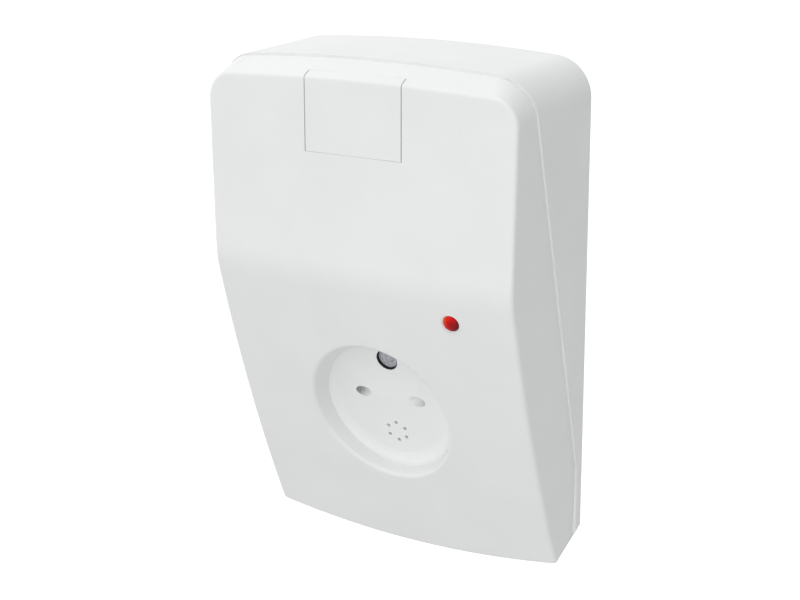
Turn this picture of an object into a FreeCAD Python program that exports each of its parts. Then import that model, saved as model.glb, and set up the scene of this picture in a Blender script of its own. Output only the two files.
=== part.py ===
"""Wall-mounted glass break sensor.

A moulded base screws to the wall and carries a leaning circuit board. A deep front cover hooks into
two slots at the base's foot, swings up against the seam and is held at the top by a barb on a thin
press tab. A round acoustic dish is screwed behind the cover's opening and leads sound to one
microphone. Millimetres; +Z is up, +X is to the right seen from the front, the wall is the plane
y = 0 and the front faces -Y. The origin lies on the wall at the middle of the height.
"""
import FreeCAD, Part
import math
import os
import re

import Sketcher

vector = FreeCAD.Vector
doc = FreeCAD.newDocument("glass_break_sensor")

# Driving dimensions. Angles are in degrees, everything else is in millimetres.
SIZES = [
    ("width", 72.0, "overall width across the seam"),
    ("side_top", 54.0, "height of the seam's top edge where it meets the sides"),
    ("top_rise", 1.85, "how far the top edge bows up at the middle"),
    ("foot_line", 51.6, "how far below the origin the underside meets the wall, on the middle line"),
    ("foot_fall", 23.3, "fall of the underside towards the front, in degrees"),
    ("foot_bow", 205.0, "radius of the underside's bow, at the wall"),
    ("foot_step", 0.45, "how far the base's underside lies inside the cover's"),
    ("foot_corner", 1.3, "rounding of the two lower corners"),
    ("corner", 8.5, "radius of the two upper corners at the seam"),
    ("wall", 2.2, "wall thickness of the cover and the base"),
    ("plate", 2.4, "thickness of the base's back plate"),
    ("seam_lean", 15.2, "angle between the seam plane and the wall"),
    ("seam_back", 22.1, "how far the seam plane lies behind the ridge, at the origin's height"),
    ("seam_step", 0.23, "how far the base stands proud of the cover at the seam"),
    ("outline_clear", 1.92, "how far the plane of the cover's front outline clears the ridge"),
    ("side_draft", 2.55, "draught of the sides, in degrees"),
    ("top_draft", 11.9, "draught of the top, in degrees"),
    ("front_corner", 0.5, "corner radius in the front outline"),
    ("face_depth", 33.5, "depth of the front face at its ridge, on the middle line"),
    ("ridge_height", 12.1, "height at which the upright face turns into the leaning face"),
    ("upper_lean", 1.14, "how far the upper face leans back, in degrees"),
    ("lower_lean", 14.55, "lean of the lower face where it starts, in degrees"),
    ("sweep", 410.0, "radius of the long curve of the leaning face"),
    ("barrel", 524.0, "radius of the crown across the face"),
    ("ridge_blend", 20.0, "radius that softens the turn of the face"),
    ("edge_round", 0.9, "rounding of the front edges"),
    ("tab_width", 21.6, "width of the press tab"),
    ("slit", 0.38, "width of the slits beside the tab"),
    ("tab_long", 16.06, "length of the tab below the line at which it bends"),
    ("tab_gap", 0.03, "gap under the tab's free edge"),
    ("window_fall", 10.0, "fall of the window's lower face inwards, in degrees"),
    ("root_back", 2.7, "how far the line at which the tab bends lies behind the ridge"),
    ("root_gap", 0.005, "parting of the tab and the cover at that line"),
    ("relief", 14.0, "angle of the groove moulded under the tab's bending line"),
    ("finger_drop", 4.36, "how far the underside of the tab's finger lies below that line"),
    ("finger_thick", 1.5, "thickness of the tab's finger"),
    ("finger_width", 8.0, "width of the tab's finger"),
    ("catch_back", 8.1, "how far the catch's holding face lies behind the ridge"),
    ("catch_drop", 2.0, "how far the catch's crest lies below the finger"),
    ("catch_rise", 1.5, "height of the catch's crest above its arm"),
    ("catch_slope", 1.6, "length of the catch's lead-in slope"),
    ("catch_tall", 4.0, "height of the catch from its underside to its crest"),
    ("catch_width", 10.0, "width of the catch"),
    ("barb", 1.85, "height of the barb under the finger"),
    ("latch_gap", 0.3, "play between the barb and the catch"),
    ("latch_lift", 0.15, "room between the two crests"),
    ("dish_height", 19.7, "how far the dish's centre lies below the origin"),
    ("dish_lean", 17.5, "lean of the face at the dish, of the dish and of the board"),
    ("dish_radius", 16.0, "radius of the round opening"),
    ("lip_round", 0.8, "rounding of the opening's lip"),
    ("collar", 1.6, "wall of the collar behind the opening"),
    ("collar_depth", 4.1, "how far the collar runs in, square to the face"),
    ("floor_depth", 5.0, "how far the dish's floor lies in"),
    ("cove", 3.0, "radius of the cove round the floor"),
    ("dish_wall", 1.8, "thickness of the dish's floor"),
    ("dish_rim", 2.4, "how far the dish reaches out past the opening"),
    ("mouth_wall", 1.1, "thickness of the dish round the microphone's opening"),
    ("mouth_boss", 5.2, "radius of the thicker place round the microphone's opening"),
    ("horn_radius", 8.9, "radius of the shallow horn round the microphone at the floor"),
    ("horn_depth", 6.4, "how far in the horn ends"),
    ("mouth_radius", 3.0, "radius of the microphone's opening"),
    ("mouth_height", 9.2, "the microphone's place above the dish's centre"),
    ("ring_drop", 8.65, "the ring of holes' place below the dish's centre"),
    ("ring_radius", 2.35, "radius of the ring of small holes"),
    ("ring_hole", 0.5, "radius of each small hole"),
    ("port_offset", 6.6, "sideways place of the two slanted ports"),
    ("port_height", 0.7, "height of the slanted ports above the dish's centre"),
    ("port_radius", 1.25, "radius of the slanted ports"),
    ("port_slant", 50.0, "slant of the ports away from the floor's normal, in degrees"),
    ("ear_ring", 21.4, "radius of the circle of the dish's three screws"),
    ("ear", 3.2, "radius of the dish's screw ears"),
    ("ear_thick", 2.1, "thickness of the ears"),
    ("boss", 2.6, "radius of the screw bosses"),
    ("screw", 1.1, "radius of the small screws' shanks"),
    ("screw_head", 2.2, "radius of their heads"),
    ("screw_head_thick", 1.2, "thickness of their heads"),
    ("recess", 0.5, "width of the cross recess in the heads"),
    ("play", 0.05, "play round fixed round pieces"),
    ("board_gap", 11.2, "distance from the face to the board's front at the dish"),
    ("board_margin", 2.8, "room between the board and the side walls"),
    ("board_low", 19.5, "how far the board reaches below the dish's axis"),
    ("board_high", 33.5, "how far the board reaches above the dish's axis"),
    ("board_thick", 1.6, "thickness of the board"),
    ("board_corner", 1.5, "corner radius of the board"),
    ("post", 3.2, "radius of the posts that carry the board"),
    ("post_inset", 3.0, "how far the posts stand in from the board's sides"),
    ("post_low", 16.3, "the lower posts' place below the dish's axis"),
    ("post_high", 30.3, "the upper posts' place above the dish's axis"),
    ("post_bore", 3.4, "depth of the screw holes in the posts"),
    ("pilot", 3.0, "depth of the screw holes in the bosses"),
    ("screw_air", 0.2, "room ahead of a screw's tip"),
    ("capsule", 2.98, "radius of the microphone capsule"),
    ("capsule_top", 2.8, "height of the capsule above the board"),
    ("boot_wall", 0.8, "wall of the rubber boot round the capsule"),
    ("boot_cover", 0.6, "wall of the boot over the capsule"),
    ("neck", 2.8, "radius of the boot's neck in the microphone's opening"),
    ("neck_wall", 0.5, "wall of the boot's neck"),
    ("neck_sunk", 0.3, "how far the neck's rim lies behind the end of the horn"),
    ("felt", 1.1, "thickness of the felt in the neck"),
    ("lamp_side", 21.1, "sideways place of the lamp"),
    ("lamp_height", 26.4, "the lamp's place above the dish's axis, along the board"),
    ("lamp_radius", 2.05, "radius of the lamp's lens"),
    ("lamp_face", 10.5, "height of the cover's face above the board at the lamp"),
    ("lamp_dome", 1.0, "how far the lens stands out of the face"),
    ("lamp_sunk", 0.1, "how far below the face the lens's dome starts"),
    ("lamp_play", 0.1, "play round the lens"),
    ("lamp_seat", 1.0, "how far the lens's seat stands in from the cover's wall"),
    ("flange", 0.9, "how far the lens's flange reaches out past it, and its thickness"),
    ("stem", 1.5, "radius of the lens's stem"),
    ("led_radius", 1.5, "radius of the light-emitting diode"),
    ("led_top", 5.3, "height of the diode above the board"),
    ("led_flange", 0.4, "how far the diode's flange reaches out past it"),
    ("led_base", 1.0, "thickness of that flange"),
    ("lamp_air", 0.4, "gap between the diode and the lens's stem"),
    ("sounder_radius", 4.5, "radius of the sounder behind the ring of holes"),
    ("sounder_thick", 2.5, "height of the sounder"),
    ("way_pitch", 3.5, "pitch of the terminals"),
    ("block_inset", 10.5, "the terminal block's place in from the left posts"),
    ("block_height", 28.6, "the terminal block's place above the dish's axis"),
    ("block_wide", 7.4, "size of the terminal block along the board"),
    ("block_tall", 7.4, "height of the terminal block"),
    ("block_floor", 1.2, "thickness of the block under its mouths"),
    ("mouth_wide", 2.4, "width of a terminal's mouth"),
    ("mouth_tall", 3.0, "height of a terminal's mouth"),
    ("clamp_screw", 1.25, "radius of the terminal screws"),
    ("clamp_long", 1.8, "length of a terminal screw"),
    ("clamp_sunk", 1.2, "how far a terminal screw lies below the block's top"),
    ("row_inset", 5.0, "how far the relay, switch, trimmer and header stand in from the board's sides"),
    ("case_round", 0.35, "rounding of the moulded cases on the board"),
    ("relay_drop", 2.4, "the relay's place below the dish's axis"),
    ("relay_wide", 6.6, "width of the relay"),
    ("relay_long", 10.0, "length of the relay"),
    ("relay_tall", 5.2, "height of the relay"),
    ("tamper_height", 7.0, "the tamper switch's place above the dish's axis"),
    ("tamper_body", 6.0, "width of the tamper switch"),
    ("tamper_tall", 3.6, "height of the tamper switch's body"),
    ("switch_floor", 1.2, "thickness of the switch's case under the plunger"),
    ("plunger", 1.6, "radius of the tamper plunger"),
    ("plunger_out", 0.6, "how far the plunger stands out while the cover is shut"),
    ("plunger_play", 0.08, "play round the plunger"),
    ("rib_thick", 1.4, "thickness of the cover's rib over the plunger"),
    ("rib_gap", 0.05, "room between the rib and the plunger"),
    ("trimmer_height", 6.0, "the trimmer's place above the dish's axis"),
    ("trimmer_body", 6.6, "width of the trimmer"),
    ("trimmer_tall", 3.2, "height of the trimmer's body"),
    ("rotor", 2.3, "radius of the trimmer's rotor"),
    ("rotor_top", 0.5, "how far the rotor stands out of the trimmer"),
    ("rotor_deep", 1.6, "how deep the rotor sits in the trimmer"),
    ("rotor_play", 0.08, "play round the rotor"),
    ("pin_pitch", 2.0, "pitch of the jumper pins"),
    ("header_drop", 4.0, "the jumper header's place below the dish's axis"),
    ("header_tall", 1.5, "height of the header's base"),
    ("pin", 0.5, "thickness of a jumper pin"),
    ("pin_top", 5.1, "height of the pins above the board"),
    ("cap_tall", 4.0, "height of a jumper cap"),
    ("cap_air", 0.2, "gap between neighbouring caps"),
    ("chip_side", 3.2, "the processor's place to the right"),
    ("chip_height", 27.4, "the processor's place above the dish's axis"),
    ("chip", 7.0, "width of the processor's body"),
    ("chip_tall", 1.4, "height of the processor"),
    ("chip_air", 0.1, "gap between the processor and the board"),
    ("lead", 0.3, "width of a processor lead"),
    ("lead_pitch", 0.8, "pitch of the processor's leads"),
    ("can_radius", 2.0, "radius of the filter capacitors"),
    ("can_tall", 5.2, "height of the filter capacitors"),
    ("can_side", 12.6, "the capacitors' place to the right"),
    ("can_pitch", 5.4, "distance between the two capacitors"),
    ("crystal_wide", 3.8, "width of the crystal's can"),
    ("crystal_long", 10.0, "length of the crystal's can"),
    ("crystal_tall", 3.4, "height of the crystal's can"),
    ("small_long", 2.0, "length of a small chip"),
    ("small_wide", 1.25, "width of a small chip"),
    ("small_thick", 0.6, "thickness of a small chip"),
    ("small_pitch", 3.0, "distance between neighbouring small chips"),
    ("small_high", 17.0, "the upper small chips' place above the dish's axis"),
    ("small_low", 16.0, "the lower small chips' place below the dish's axis"),
    ("small_inset", 6.5, "how far the outer small chips stand in from the board's sides"),
    ("tongue_side", 13.0, "sideways place of the cover's two tongues"),
    ("tongue_wide", 8.0, "width of a tongue"),
    ("tongue_thick", 1.2, "thickness of a tongue"),
    ("tongue_long", 1.8, "how far a tongue reaches behind the seam"),
    ("tongue_lift", 4.6, "height of the tongues above the turning line"),
    ("hinge_drop", 1.2, "how far the turning line lies below the underside's line at the wall"),
    ("tongue_room", 0.4, "room round a tongue in its slot"),
    ("slot_half", 2.2, "half the width of a wall-screw slot"),
    ("slot_long", 8.0, "length of a wall-screw slot"),
    ("slot_side", 24.0, "sideways place of the wall-screw slots"),
    ("slot_high", 36.0, "height of the upper wall-screw slots"),
    ("slot_low", 43.0, "how far the lower wall-screw slots lie below the origin"),
    ("entry_side", 12.0, "the cable entry's place to the left"),
    ("entry_height", 25.0, "the cable entry's height"),
    ("entry_wide", 14.0, "width of the cable entry"),
    ("entry_tall", 9.0, "height of the cable entry"),
]

sheet = doc.addObject("Spreadsheet::Sheet", "Sizes")
for row, (alias, size, meaning) in enumerate(SIZES, 1):
    sheet.set(f"A{row}", meaning)
    sheet.set(f"B{row}", str(size))
    sheet.setAlias(f"B{row}", alias)
doc.recompute()
aliases = {alias for alias, size, meaning in SIZES}
probe = doc.addObject("Part::Feature", "probe")

# Places that follow from the driving dimensions. The leaning face is tangent to the ridge's blend,
# and the tab's bending line lies on the top slope.
FOLLOWING = {
    "brow": "side_top + corner",
    "under": "foot_line + corner",
    "hinge_height": "foot_line + hinge_drop",
    "seam_depth": "face_depth - seam_back",
    "draw": "(seam_back + outline_clear) * cos(seam_lean) - ridge_height * sin(seam_lean)",
    "blend_reach": "ridge_blend * tan((upper_lean + lower_lean) / 2)",
    "sweep_depth": "face_depth - blend_reach * sin(lower_lean) - sweep * cos(lower_lean)",
    "sweep_height": "ridge_height - blend_reach * cos(lower_lean) + sweep * sin(lower_lean)",
    "dish_face": "sweep_depth + (sweep ^ 2 - (sweep_height + dish_height) ^ 2) ^ 0.5",
    "slope_angle": "seam_lean + top_draft",
    "apex": "side_top / cos(seam_lean) - seam_step + top_rise",
    "root_depth": "face_depth - root_back",
    "root_height": "apex * cos(seam_lean) - (root_depth - seam_depth - apex * sin(seam_lean)) * tan(slope_angle)",
    "tab_foot": "root_height - tab_long",
    "window_half": "tab_width / 2 + slit",
    "tab_face": "face_depth - (tab_foot - ridge_height) * tan(upper_lean)",
    "finger_height": "root_height - finger_drop",
    "catch_depth": "face_depth - catch_back",
    "catch_height": "finger_height - catch_drop",
    "board_half": "width / 2 - wall - board_margin",
    "post_side": "board_half - post_inset",
    "row_side": "board_half - row_inset",
    "block_side": "post_side - block_inset",
    "crystal_side": "(block_side - 2 * way_pitch - chip_side + chip / 2 + 3 * lead) / 2",
}


# Expressions are written with these names and the sizes' own.
def full(text):
    def term(word):
        if word[0] in FOLLOWING:
            return f"({full(FOLLOWING[word[0]])})"
        return f"Sizes.{word[0]}" if word[0] in aliases else word[0]

    return re.sub(r"[a-z_]+", term, str(text))


def value(text):
    return float(probe.evalExpression(full(text)))


def bind(item, **expressions):
    for name, text in expressions.items():
        item.setExpression(name.replace("__", "."), full(text))
    return item


# Frames. The board's frame has its origin on the board's front, on the dish's axis: x across, y up
# along the board and z out towards the face. The seam's frame lies on the seam plane in the same way.
BOARD = ("dish_lean", "dish_face - board_gap * cos(dish_lean)", "board_gap * sin(dish_lean) - dish_height")
SEAM = ("seam_lean", "seam_depth", "0")
WALL = ("0", "0", "0")


def spot(frame, along, out):
    """Depth and height of a point of a frame, given along it and out of it."""
    lean, depth, height = frame
    return (f"({depth}) + ({along}) * sin({lean}) + ({out}) * cos({lean})",
            f"({height}) + ({along}) * cos({lean}) - ({out}) * sin({lean})")


def seat(item, frame, across=0, along=0, out=0):
    """Place an item that was drawn upright on its own XY plane, so that its Z points out of a frame."""
    depth, height = spot(frame, along, out)
    item.Placement = FreeCAD.Placement(vector(), FreeCAD.Rotation(vector(1, 0, 0), 90))
    bind(item, Placement__Rotation__Angle=f"90 + {frame[0]}", Placement__Base__x=across,
         Placement__Base__y=f"-({depth})", Placement__Base__z=height)
    return item


def cylinder(frame, across, along, out, radius, length, name="rod"):
    item = doc.addObject("Part::Cylinder", name)
    bind(item, Radius=radius, Height=length)
    return seat(item, frame, across, along, out)


def cone(frame, across, along, out, radius, end_radius, length, name="cone"):
    item = doc.addObject("Part::Cone", name)
    bind(item, Radius1=radius, Radius2=end_radius, Height=length)
    return seat(item, frame, across, along, out)


def block(frame, across, along, out, wide, high, length, name="block"):
    """A box centred across and along its place, standing out of the frame."""
    item = doc.addObject("Part::Box", name)
    bind(item, Length=wide, Width=high, Height=length)
    return seat(item, frame, f"({across}) - ({wide}) / 2", f"({along}) - ({high}) / 2", out)


def fuse(name, items):
    item = doc.addObject("Part::MultiFuse", name)
    item.Shapes = items
    return item


def cut(name, base, tool):
    item = doc.addObject("Part::Cut", name)
    item.Base = base
    item.Tool = tool
    return item


def common(name, items):
    item = doc.addObject("Part::MultiCommon", name)
    item.Shapes = items
    return item


def new_body(name):
    return doc.addObject("PartDesign::Body", name)


def sketch(body, plane, offset=None, name="sketch"):
    """A sketch on one of the body's own origin planes, or on a plane of a frame (lean, depth, height)."""
    item = body.newObject("Sketcher::SketchObject", name)
    support = [part for part in body.Origin.OriginFeatures if part.Role == plane]
    item.AttachmentSupport = [(support[0], "")]
    item.MapMode = "FlatFace"
    if offset:
        lean, depth, height = offset
        item.AttachmentOffset = FreeCAD.Placement(vector(), FreeCAD.Rotation(vector(1, 0, 0), 1))
        bind(item, AttachmentOffset__Rotation__Angle=lean, AttachmentOffset__Base__z=depth,
             AttachmentOffset__Base__y=height)
    return item


def fix(item, kind, *places, size=None):
    """Add one constraint, driven by an expression where it has a size."""
    if size is None:
        item.addConstraint(Sketcher.Constraint(kind, *places))
        return
    number = item.addConstraint(Sketcher.Constraint(kind, *places, value(size)))
    bind(item, **{f"Constraints[{number}]": size})


def bowed(start, end, radius):
    """Arc from start to end; a positive radius has its centre on the left of the way."""
    chord = end - start
    half = chord.Length / 2
    left = vector(-chord.y, chord.x, 0).normalize()
    side = math.copysign(1, radius)
    reach = math.sqrt(radius ** 2 - half ** 2)
    middle = (start + end) / 2 + left * side * (reach - abs(radius))
    return Part.Arc(start, middle, end)


def polygon(item, corners, arcs=None):
    """A closed outline through corners given as expressions; arcs maps a side to its radius."""
    arcs = arcs or {}
    points = [vector(value(x), value(y), 0) for x, y in corners]
    count = len(points)
    ends = []
    for side, start in enumerate(points):
        end = points[(side + 1) % count]
        if side in arcs:
            radius = value(arcs[side])
            item.addGeometry(bowed(start, end, radius))
            ends.append((1, 2) if radius > 0 else (2, 1))
        else:
            item.addGeometry(Part.LineSegment(start, end))
            ends.append((1, 2))
    for side in range(count):
        following = (side + 1) % count
        fix(item, "Coincident", side, ends[side][1], following, ends[following][0])
    for side, (x, y) in enumerate(corners):
        fix(item, "DistanceX", side, ends[side][0], size=x)
        fix(item, "DistanceY", side, ends[side][0], size=y)
    for side, radius in arcs.items():
        fix(item, "Radius", side, size=f"abs({radius})")
    return item


def circle(item, x, y, radius):
    number = item.addGeometry(Part.Circle(vector(value(x), value(y), 0), vector(0, 0, 1), value(radius)))
    fix(item, "Radius", number, size=radius)
    fix(item, "DistanceX", number, 3, size=x)
    fix(item, "DistanceY", number, 3, size=y)
    return item


def rectangle(item, x, y, wide, high):
    return polygon(item, [(f"({x}) - ({wide}) / 2", f"({y}) - ({high}) / 2"),
                          (f"({x}) + ({wide}) / 2", f"({y}) - ({high}) / 2"),
                          (f"({x}) + ({wide}) / 2", f"({y}) + ({high}) / 2"),
                          (f"({x}) - ({wide}) / 2", f"({y}) + ({high}) / 2")])


def arch(item, half, top, rise, corner, foot):
    """The housing's outline: straight sides and foot, and a bowed top with round corners."""
    top_radius = f"(({half}) ^ 2 + ({rise}) ^ 2) / (2 * ({rise}))"
    side = value(half)
    round_corner = value(corner)
    big = value(top_radius)
    centre_height = value(top) + value(rise) - big
    shoulder = centre_height + math.sqrt((big - round_corner) ** 2 - (side - round_corner) ** 2)
    base = vector(side, value(foot), 0)
    start = vector(side, shoulder, 0)
    centre = vector(side - round_corner, shoulder, 0)
    outward = (centre - vector(0, centre_height, 0)).normalize()
    end = vector(0, centre_height, 0) + outward * big
    turn = centre + (outward + vector(1, 0, 0)).normalize() * round_corner

    def mirrored(point):
        return vector(-point.x, point.y, 0)

    item.addGeometry(Part.LineSegment(base, start))
    item.addGeometry(Part.Arc(start, turn, end))
    item.addGeometry(Part.Arc(end, vector(0, centre_height + big, 0), mirrored(end)))
    item.addGeometry(Part.Arc(mirrored(end), mirrored(turn), mirrored(start)))
    item.addGeometry(Part.LineSegment(mirrored(start), mirrored(base)))
    item.addGeometry(Part.LineSegment(mirrored(base), base))
    for number in range(4):
        fix(item, "Tangent", number, 2, number + 1, 1)
    fix(item, "Coincident", 4, 2, 5, 1)
    fix(item, "Coincident", 5, 2, 0, 1)
    fix(item, "Vertical", 0)
    fix(item, "Vertical", 4)
    fix(item, "DistanceX", 0, 1, size=half)
    fix(item, "DistanceX", 4, 2, size=f"-({half})")
    fix(item, "DistanceY", 0, 1, size=foot)
    fix(item, "DistanceY", 4, 2, size=foot)
    fix(item, "Radius", 1, size=corner)
    fix(item, "Radius", 3, size=corner)
    fix(item, "PointOnObject", 2, 3, -2)
    fix(item, "Radius", 2, size=top_radius)
    fix(item, "DistanceY", 2, 3, size=f"({top}) + ({rise}) - {top_radius}")
    return item


def feature(body, kind, profile, name, **settings):
    """A sketch-based feature; text settings become expressions, others are set as they are."""
    item = body.newObject(f"PartDesign::{kind}", name)
    item.Profile = profile
    for key, setting in settings.items():
        if isinstance(setting, str) and key != "SideType":
            bind(item, **{key: setting})
        else:
            setattr(item, key, setting)
    body.Tip = item
    return item


def across(body, kind, profile, name, width="3 * width"):
    """A pad or pocket of a side profile, as far to the left as to the right."""
    return feature(body, kind, profile, name, SideType="Symmetric", Length=width)


def rounded(body, name, radius, choose):
    """Round the edges that a function chooses from the body's present shape."""
    doc.recompute()
    base = body.Tip
    shape = base.Shape
    chosen = choose(shape)
    names = [f"Edge{number}" for number, edge in enumerate(shape.Edges, 1)
             if any(edge.isSame(other) for other in chosen)]
    item = body.newObject("PartDesign::Fillet", name)
    item.Base = (base, names)
    bind(item, Radius=radius)
    body.Tip = item
    doc.recompute()
    return item


def named(item, label):
    item.Label = label
    return item


# The face. One side profile turned about a distant upright axis gives the crowned front; what lies
# in front of it is cut away. Set back by the wall, the same profile bounds the inside.
def face_cut(body, inset, name):
    profile = sketch(body, "YZ_Plane", name=f"{name}_profile")
    upper_depth = f"face_depth - blend_reach * sin(upper_lean) - ({inset}) * cos(upper_lean)"
    upper_height = f"ridge_height + blend_reach * cos(upper_lean) - ({inset}) * sin(upper_lean)"
    lower_depth = f"face_depth - blend_reach * sin(lower_lean) - ({inset}) * cos(lower_lean)"
    lower_height = f"ridge_height - blend_reach * cos(lower_lean) + ({inset}) * sin(lower_lean)"
    under_depth = f"sweep_depth + ((sweep - ({inset})) ^ 2 - (sweep_height + under) ^ 2) ^ 0.5"
    polygon(profile, [(f"(brow - ({upper_height})) * tan(upper_lean) - ({upper_depth})", "brow"),
                      (f"-({upper_depth})", upper_height), (f"-({lower_depth})", lower_height),
                      (f"-({under_depth})", "-under"), ("-2 * face_depth", "-under"), ("-2 * face_depth", "brow")],
            {1: f"ridge_blend - ({inset})", 2: f"sweep - ({inset})"})
    return turned_cut(body, profile, ("barrel - face_depth", "0"), ("barrel - face_depth", "10"), name)


def turned_cut(body, profile, start, end, name):
    """Cut away a side profile turned about a line in its own plane."""
    axis = profile.addGeometry(Part.LineSegment(vector(value(start[0]), value(start[1]), 0),
                                                vector(value(end[0]), value(end[1]), 0)), True)
    for point, (x, y) in enumerate((start, end), 1):
        fix(profile, "DistanceX", axis, point, size=x)
        fix(profile, "DistanceY", axis, point, size=y)
    groove = feature(body, "Groove", profile, name, Midplane=True, Angle=40.0)
    groove.ReferenceAxis = (profile, ["Axis0"])
    return groove


def foot_cut(body, inset, name):
    """The underside: a line that falls towards the front, turned about a high axis square to the wall."""
    level = f"({inset}) / cos(foot_fall) - foot_line"
    profile = polygon(sketch(body, "YZ_Plane", name=f"{name}_profile"), [
        ("-2 * face_depth", "-2 * width"), ("face_depth", "-2 * width"),
        ("face_depth", f"{level} + face_depth * tan(foot_fall)"),
        ("-2 * face_depth", f"{level} - 2 * face_depth * tan(foot_fall)")])
    return turned_cut(body, profile, ("0", "foot_bow - foot_line"), ("10", "foot_bow - foot_line"), name)


def foot_corners(shape):
    """The two edges where the sides meet the underside."""
    return [edge for edge in shape.Edges
            if edge.BoundBox.ZMax < -value("foot_line - corner") and edge.BoundBox.XLength < value("corner / 2")
            and edge.BoundBox.YLength > value("plate / 2")]


def shell_loft(body, inset, name):
    """The draughted block between the seam outline and the front outline, both pulled in by inset."""
    half = f"width / 2 - seam_step - ({inset})"
    top = f"side_top / cos(seam_lean) - seam_step - ({inset})"
    seam_outline = sketch(body, "XZ_Plane", SEAM, f"{name}_seam_outline")
    arch(seam_outline, half, top, "top_rise", f"corner - seam_step - ({inset})", "-under")
    depth, height = spot(SEAM, "0", "draw")
    front_outline = sketch(body, "XZ_Plane", ("seam_lean", depth, height), f"{name}_front_outline")
    arch(front_outline, f"{half} - draw * tan(side_draft)", f"{top} - draw * tan(top_draft)", "top_rise",
         "front_corner", "-under")
    return feature(body, "AdditiveLoft", seam_outline, name, Sections=[front_outline], Ruled=True)


def back_cut(body, depth, name):
    """Cut away everything behind a plane at the given depth."""
    profile = rectangle(sketch(body, "YZ_Plane", name=f"{name}_profile"),
                        f"width - ({depth})", "0", "2 * width", "4 * width")
    return across(body, "Pocket", profile, name)


def face_rim(shape):
    """The edges round the front face, where it meets the sides, the top and the foot."""
    front = []
    for face in shape.Faces:
        first, last, low, high = face.ParameterRange
        if face.normalAt((first + last) / 2, (low + high) / 2).y < -0.85:
            front += face.Edges
    return [edge for edge in front if sum(edge.isSame(other) for other in front) == 1]


# The cover's outside, with the opening of the dish and the hole of the lamp.
cover_outside = new_body("cover_outside")
shell_loft(cover_outside, "0", "cover_block")
face_cut(cover_outside, "0", "cover_face")
foot_cut(cover_outside, "0", "cover_foot")
back_cut(cover_outside, "plate", "cover_back")
rounded(cover_outside, "cover_foot_corners", "foot_corner", foot_corners)
rounded(cover_outside, "front_edges", "edge_round", face_rim)
opening = circle(sketch(cover_outside, "XZ_Plane", name="opening_circle"), "0", "-dish_height", "dish_radius")
feature(cover_outside, "Pocket", opening, "dish_opening", SideType="Symmetric", Length="3 * face_depth")


def opening_lip(shape):
    """The opening's edges on the front face."""
    reach = value("dish_radius") + 0.01
    centre = -value("dish_height")
    return [edge for edge in shape.Edges
            if edge.BoundBox.YMax < -value("dish_face") / 2 and edge.BoundBox.XMax < reach
            and abs(edge.BoundBox.ZMin - centre) < reach and abs(edge.BoundBox.ZMax - centre) < reach]


rounded(cover_outside, "opening_lip", "lip_round", opening_lip)

# The cover's inside. The hollow follows the outside at one wall's distance, apart from what is left
# standing in it: the collar, three screw bosses, the lamp's seat, the rib over the tamper plunger
# and the ribs round the press tab.
hollow = new_body("hollow")
shell_loft(hollow, "wall", "hollow_block")
face_cut(hollow, "wall", "hollow_face")
foot_cut(hollow, "wall", "hollow_foot")

crease = "board_gap - collar_depth"
dish_screws = [("0", "ear_ring")] + [(f"{side} * ear_ring * cos(30)", "-ear_ring * sin(30)") for side in (-1, 1)]
collar = common("collar", [
    cylinder(WALL, 0, "-dish_height", 0, "dish_radius + collar", "2 * face_depth"),
    block(BOARD, 0, 0, crease, "2 * width", "2 * width", "face_depth")])
kept = [collar]
kept += [cylinder(BOARD, x, along, crease, "boss", "face_depth") for x, along in dish_screws]
kept.append(cylinder(BOARD, "lamp_side", "lamp_height", "lamp_face - wall - lamp_seat",
                     "lamp_radius + flange", "face_depth"))
kept.append(block(BOARD, "row_side", "tamper_height", "tamper_tall + plunger_out + rib_gap",
                  "rib_thick", "tamper_body", "face_depth"))
rib_reach = "face_depth - wall - 2 * rib_thick"
for side in (-1, 1):
    kept.append(block(WALL, f"{side} * (window_half + rib_thick / 2)", "(tab_foot + finger_height) / 2",
                      rib_reach, "rib_thick", "finger_height - tab_foot", "face_depth"))
kept.append(block(WALL, 0, "tab_foot - rib_thick / 2", rib_reach, "2 * (window_half + rib_thick)",
                  "rib_thick", "face_depth"))
cover_shell = cut("cover_shell", cover_outside, cut("cover_hollow", hollow, fuse("kept_inside", kept)))


# The press tab is moulded in one with the cover. It is parted from it by two slits and a gap at its
# free edge, and bends at a line on the top slope over a groove moulded into the underside.
def tab_outline(body, foot, fall, root, angle, name):
    deep = "2 * wall"
    return polygon(sketch(body, "YZ_Plane", name=f"{name}_profile"), [
        ("-2 * face_depth", f"{foot} + (2 * face_depth - tab_face) * tan({fall})"),
        ("-catch_depth", f"{foot} + (catch_depth - tab_face) * tan({fall})"),
        ("-catch_depth", f"root_height - cos({angle}) * {deep}"),
        (f"-({root}) + sin({angle}) * {deep}", f"root_height - cos({angle}) * {deep}"),
        (f"-({root})", "root_height"), (f"-({root})", "brow"), ("-2 * face_depth", "brow")])


window = new_body("window")
across(window, "Pad", tab_outline(window, "tab_foot", "window_fall", "root_depth", "slope_angle", "window"),
       "window_block", "2 * window_half")
tab_block = new_body("tab_block")
across(tab_block, "Pad", tab_outline(tab_block, "tab_foot + tab_gap", "0", "root_depth + root_gap",
                                     "slope_angle - relief", "tab"), "tab_blank", "tab_width")
finger = new_body("finger")
holding = "-(catch_depth - latch_gap)"
finger_root = "-(face_depth - wall / 2)"
finger_top = "finger_height + finger_thick"
finger_end = f"{holding} + barb + finger_thick / 2"
finger_profile = polygon(sketch(finger, "YZ_Plane", name="finger_profile"), [
    (finger_root, "finger_height"), (holding, "finger_height"),
    (holding, "catch_height + latch_lift"), (f"{holding} + barb", "finger_height"),
    (finger_end, "finger_height"), (finger_end, finger_top), (finger_root, finger_top)])
across(finger, "Pad", finger_profile, "finger_blank", "finger_width")
tab_wall = common("tab_wall", [cover_shell, tab_block])
release_tab = named(fuse("press_tab", [tab_wall, finger]), "release_tab")

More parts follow.
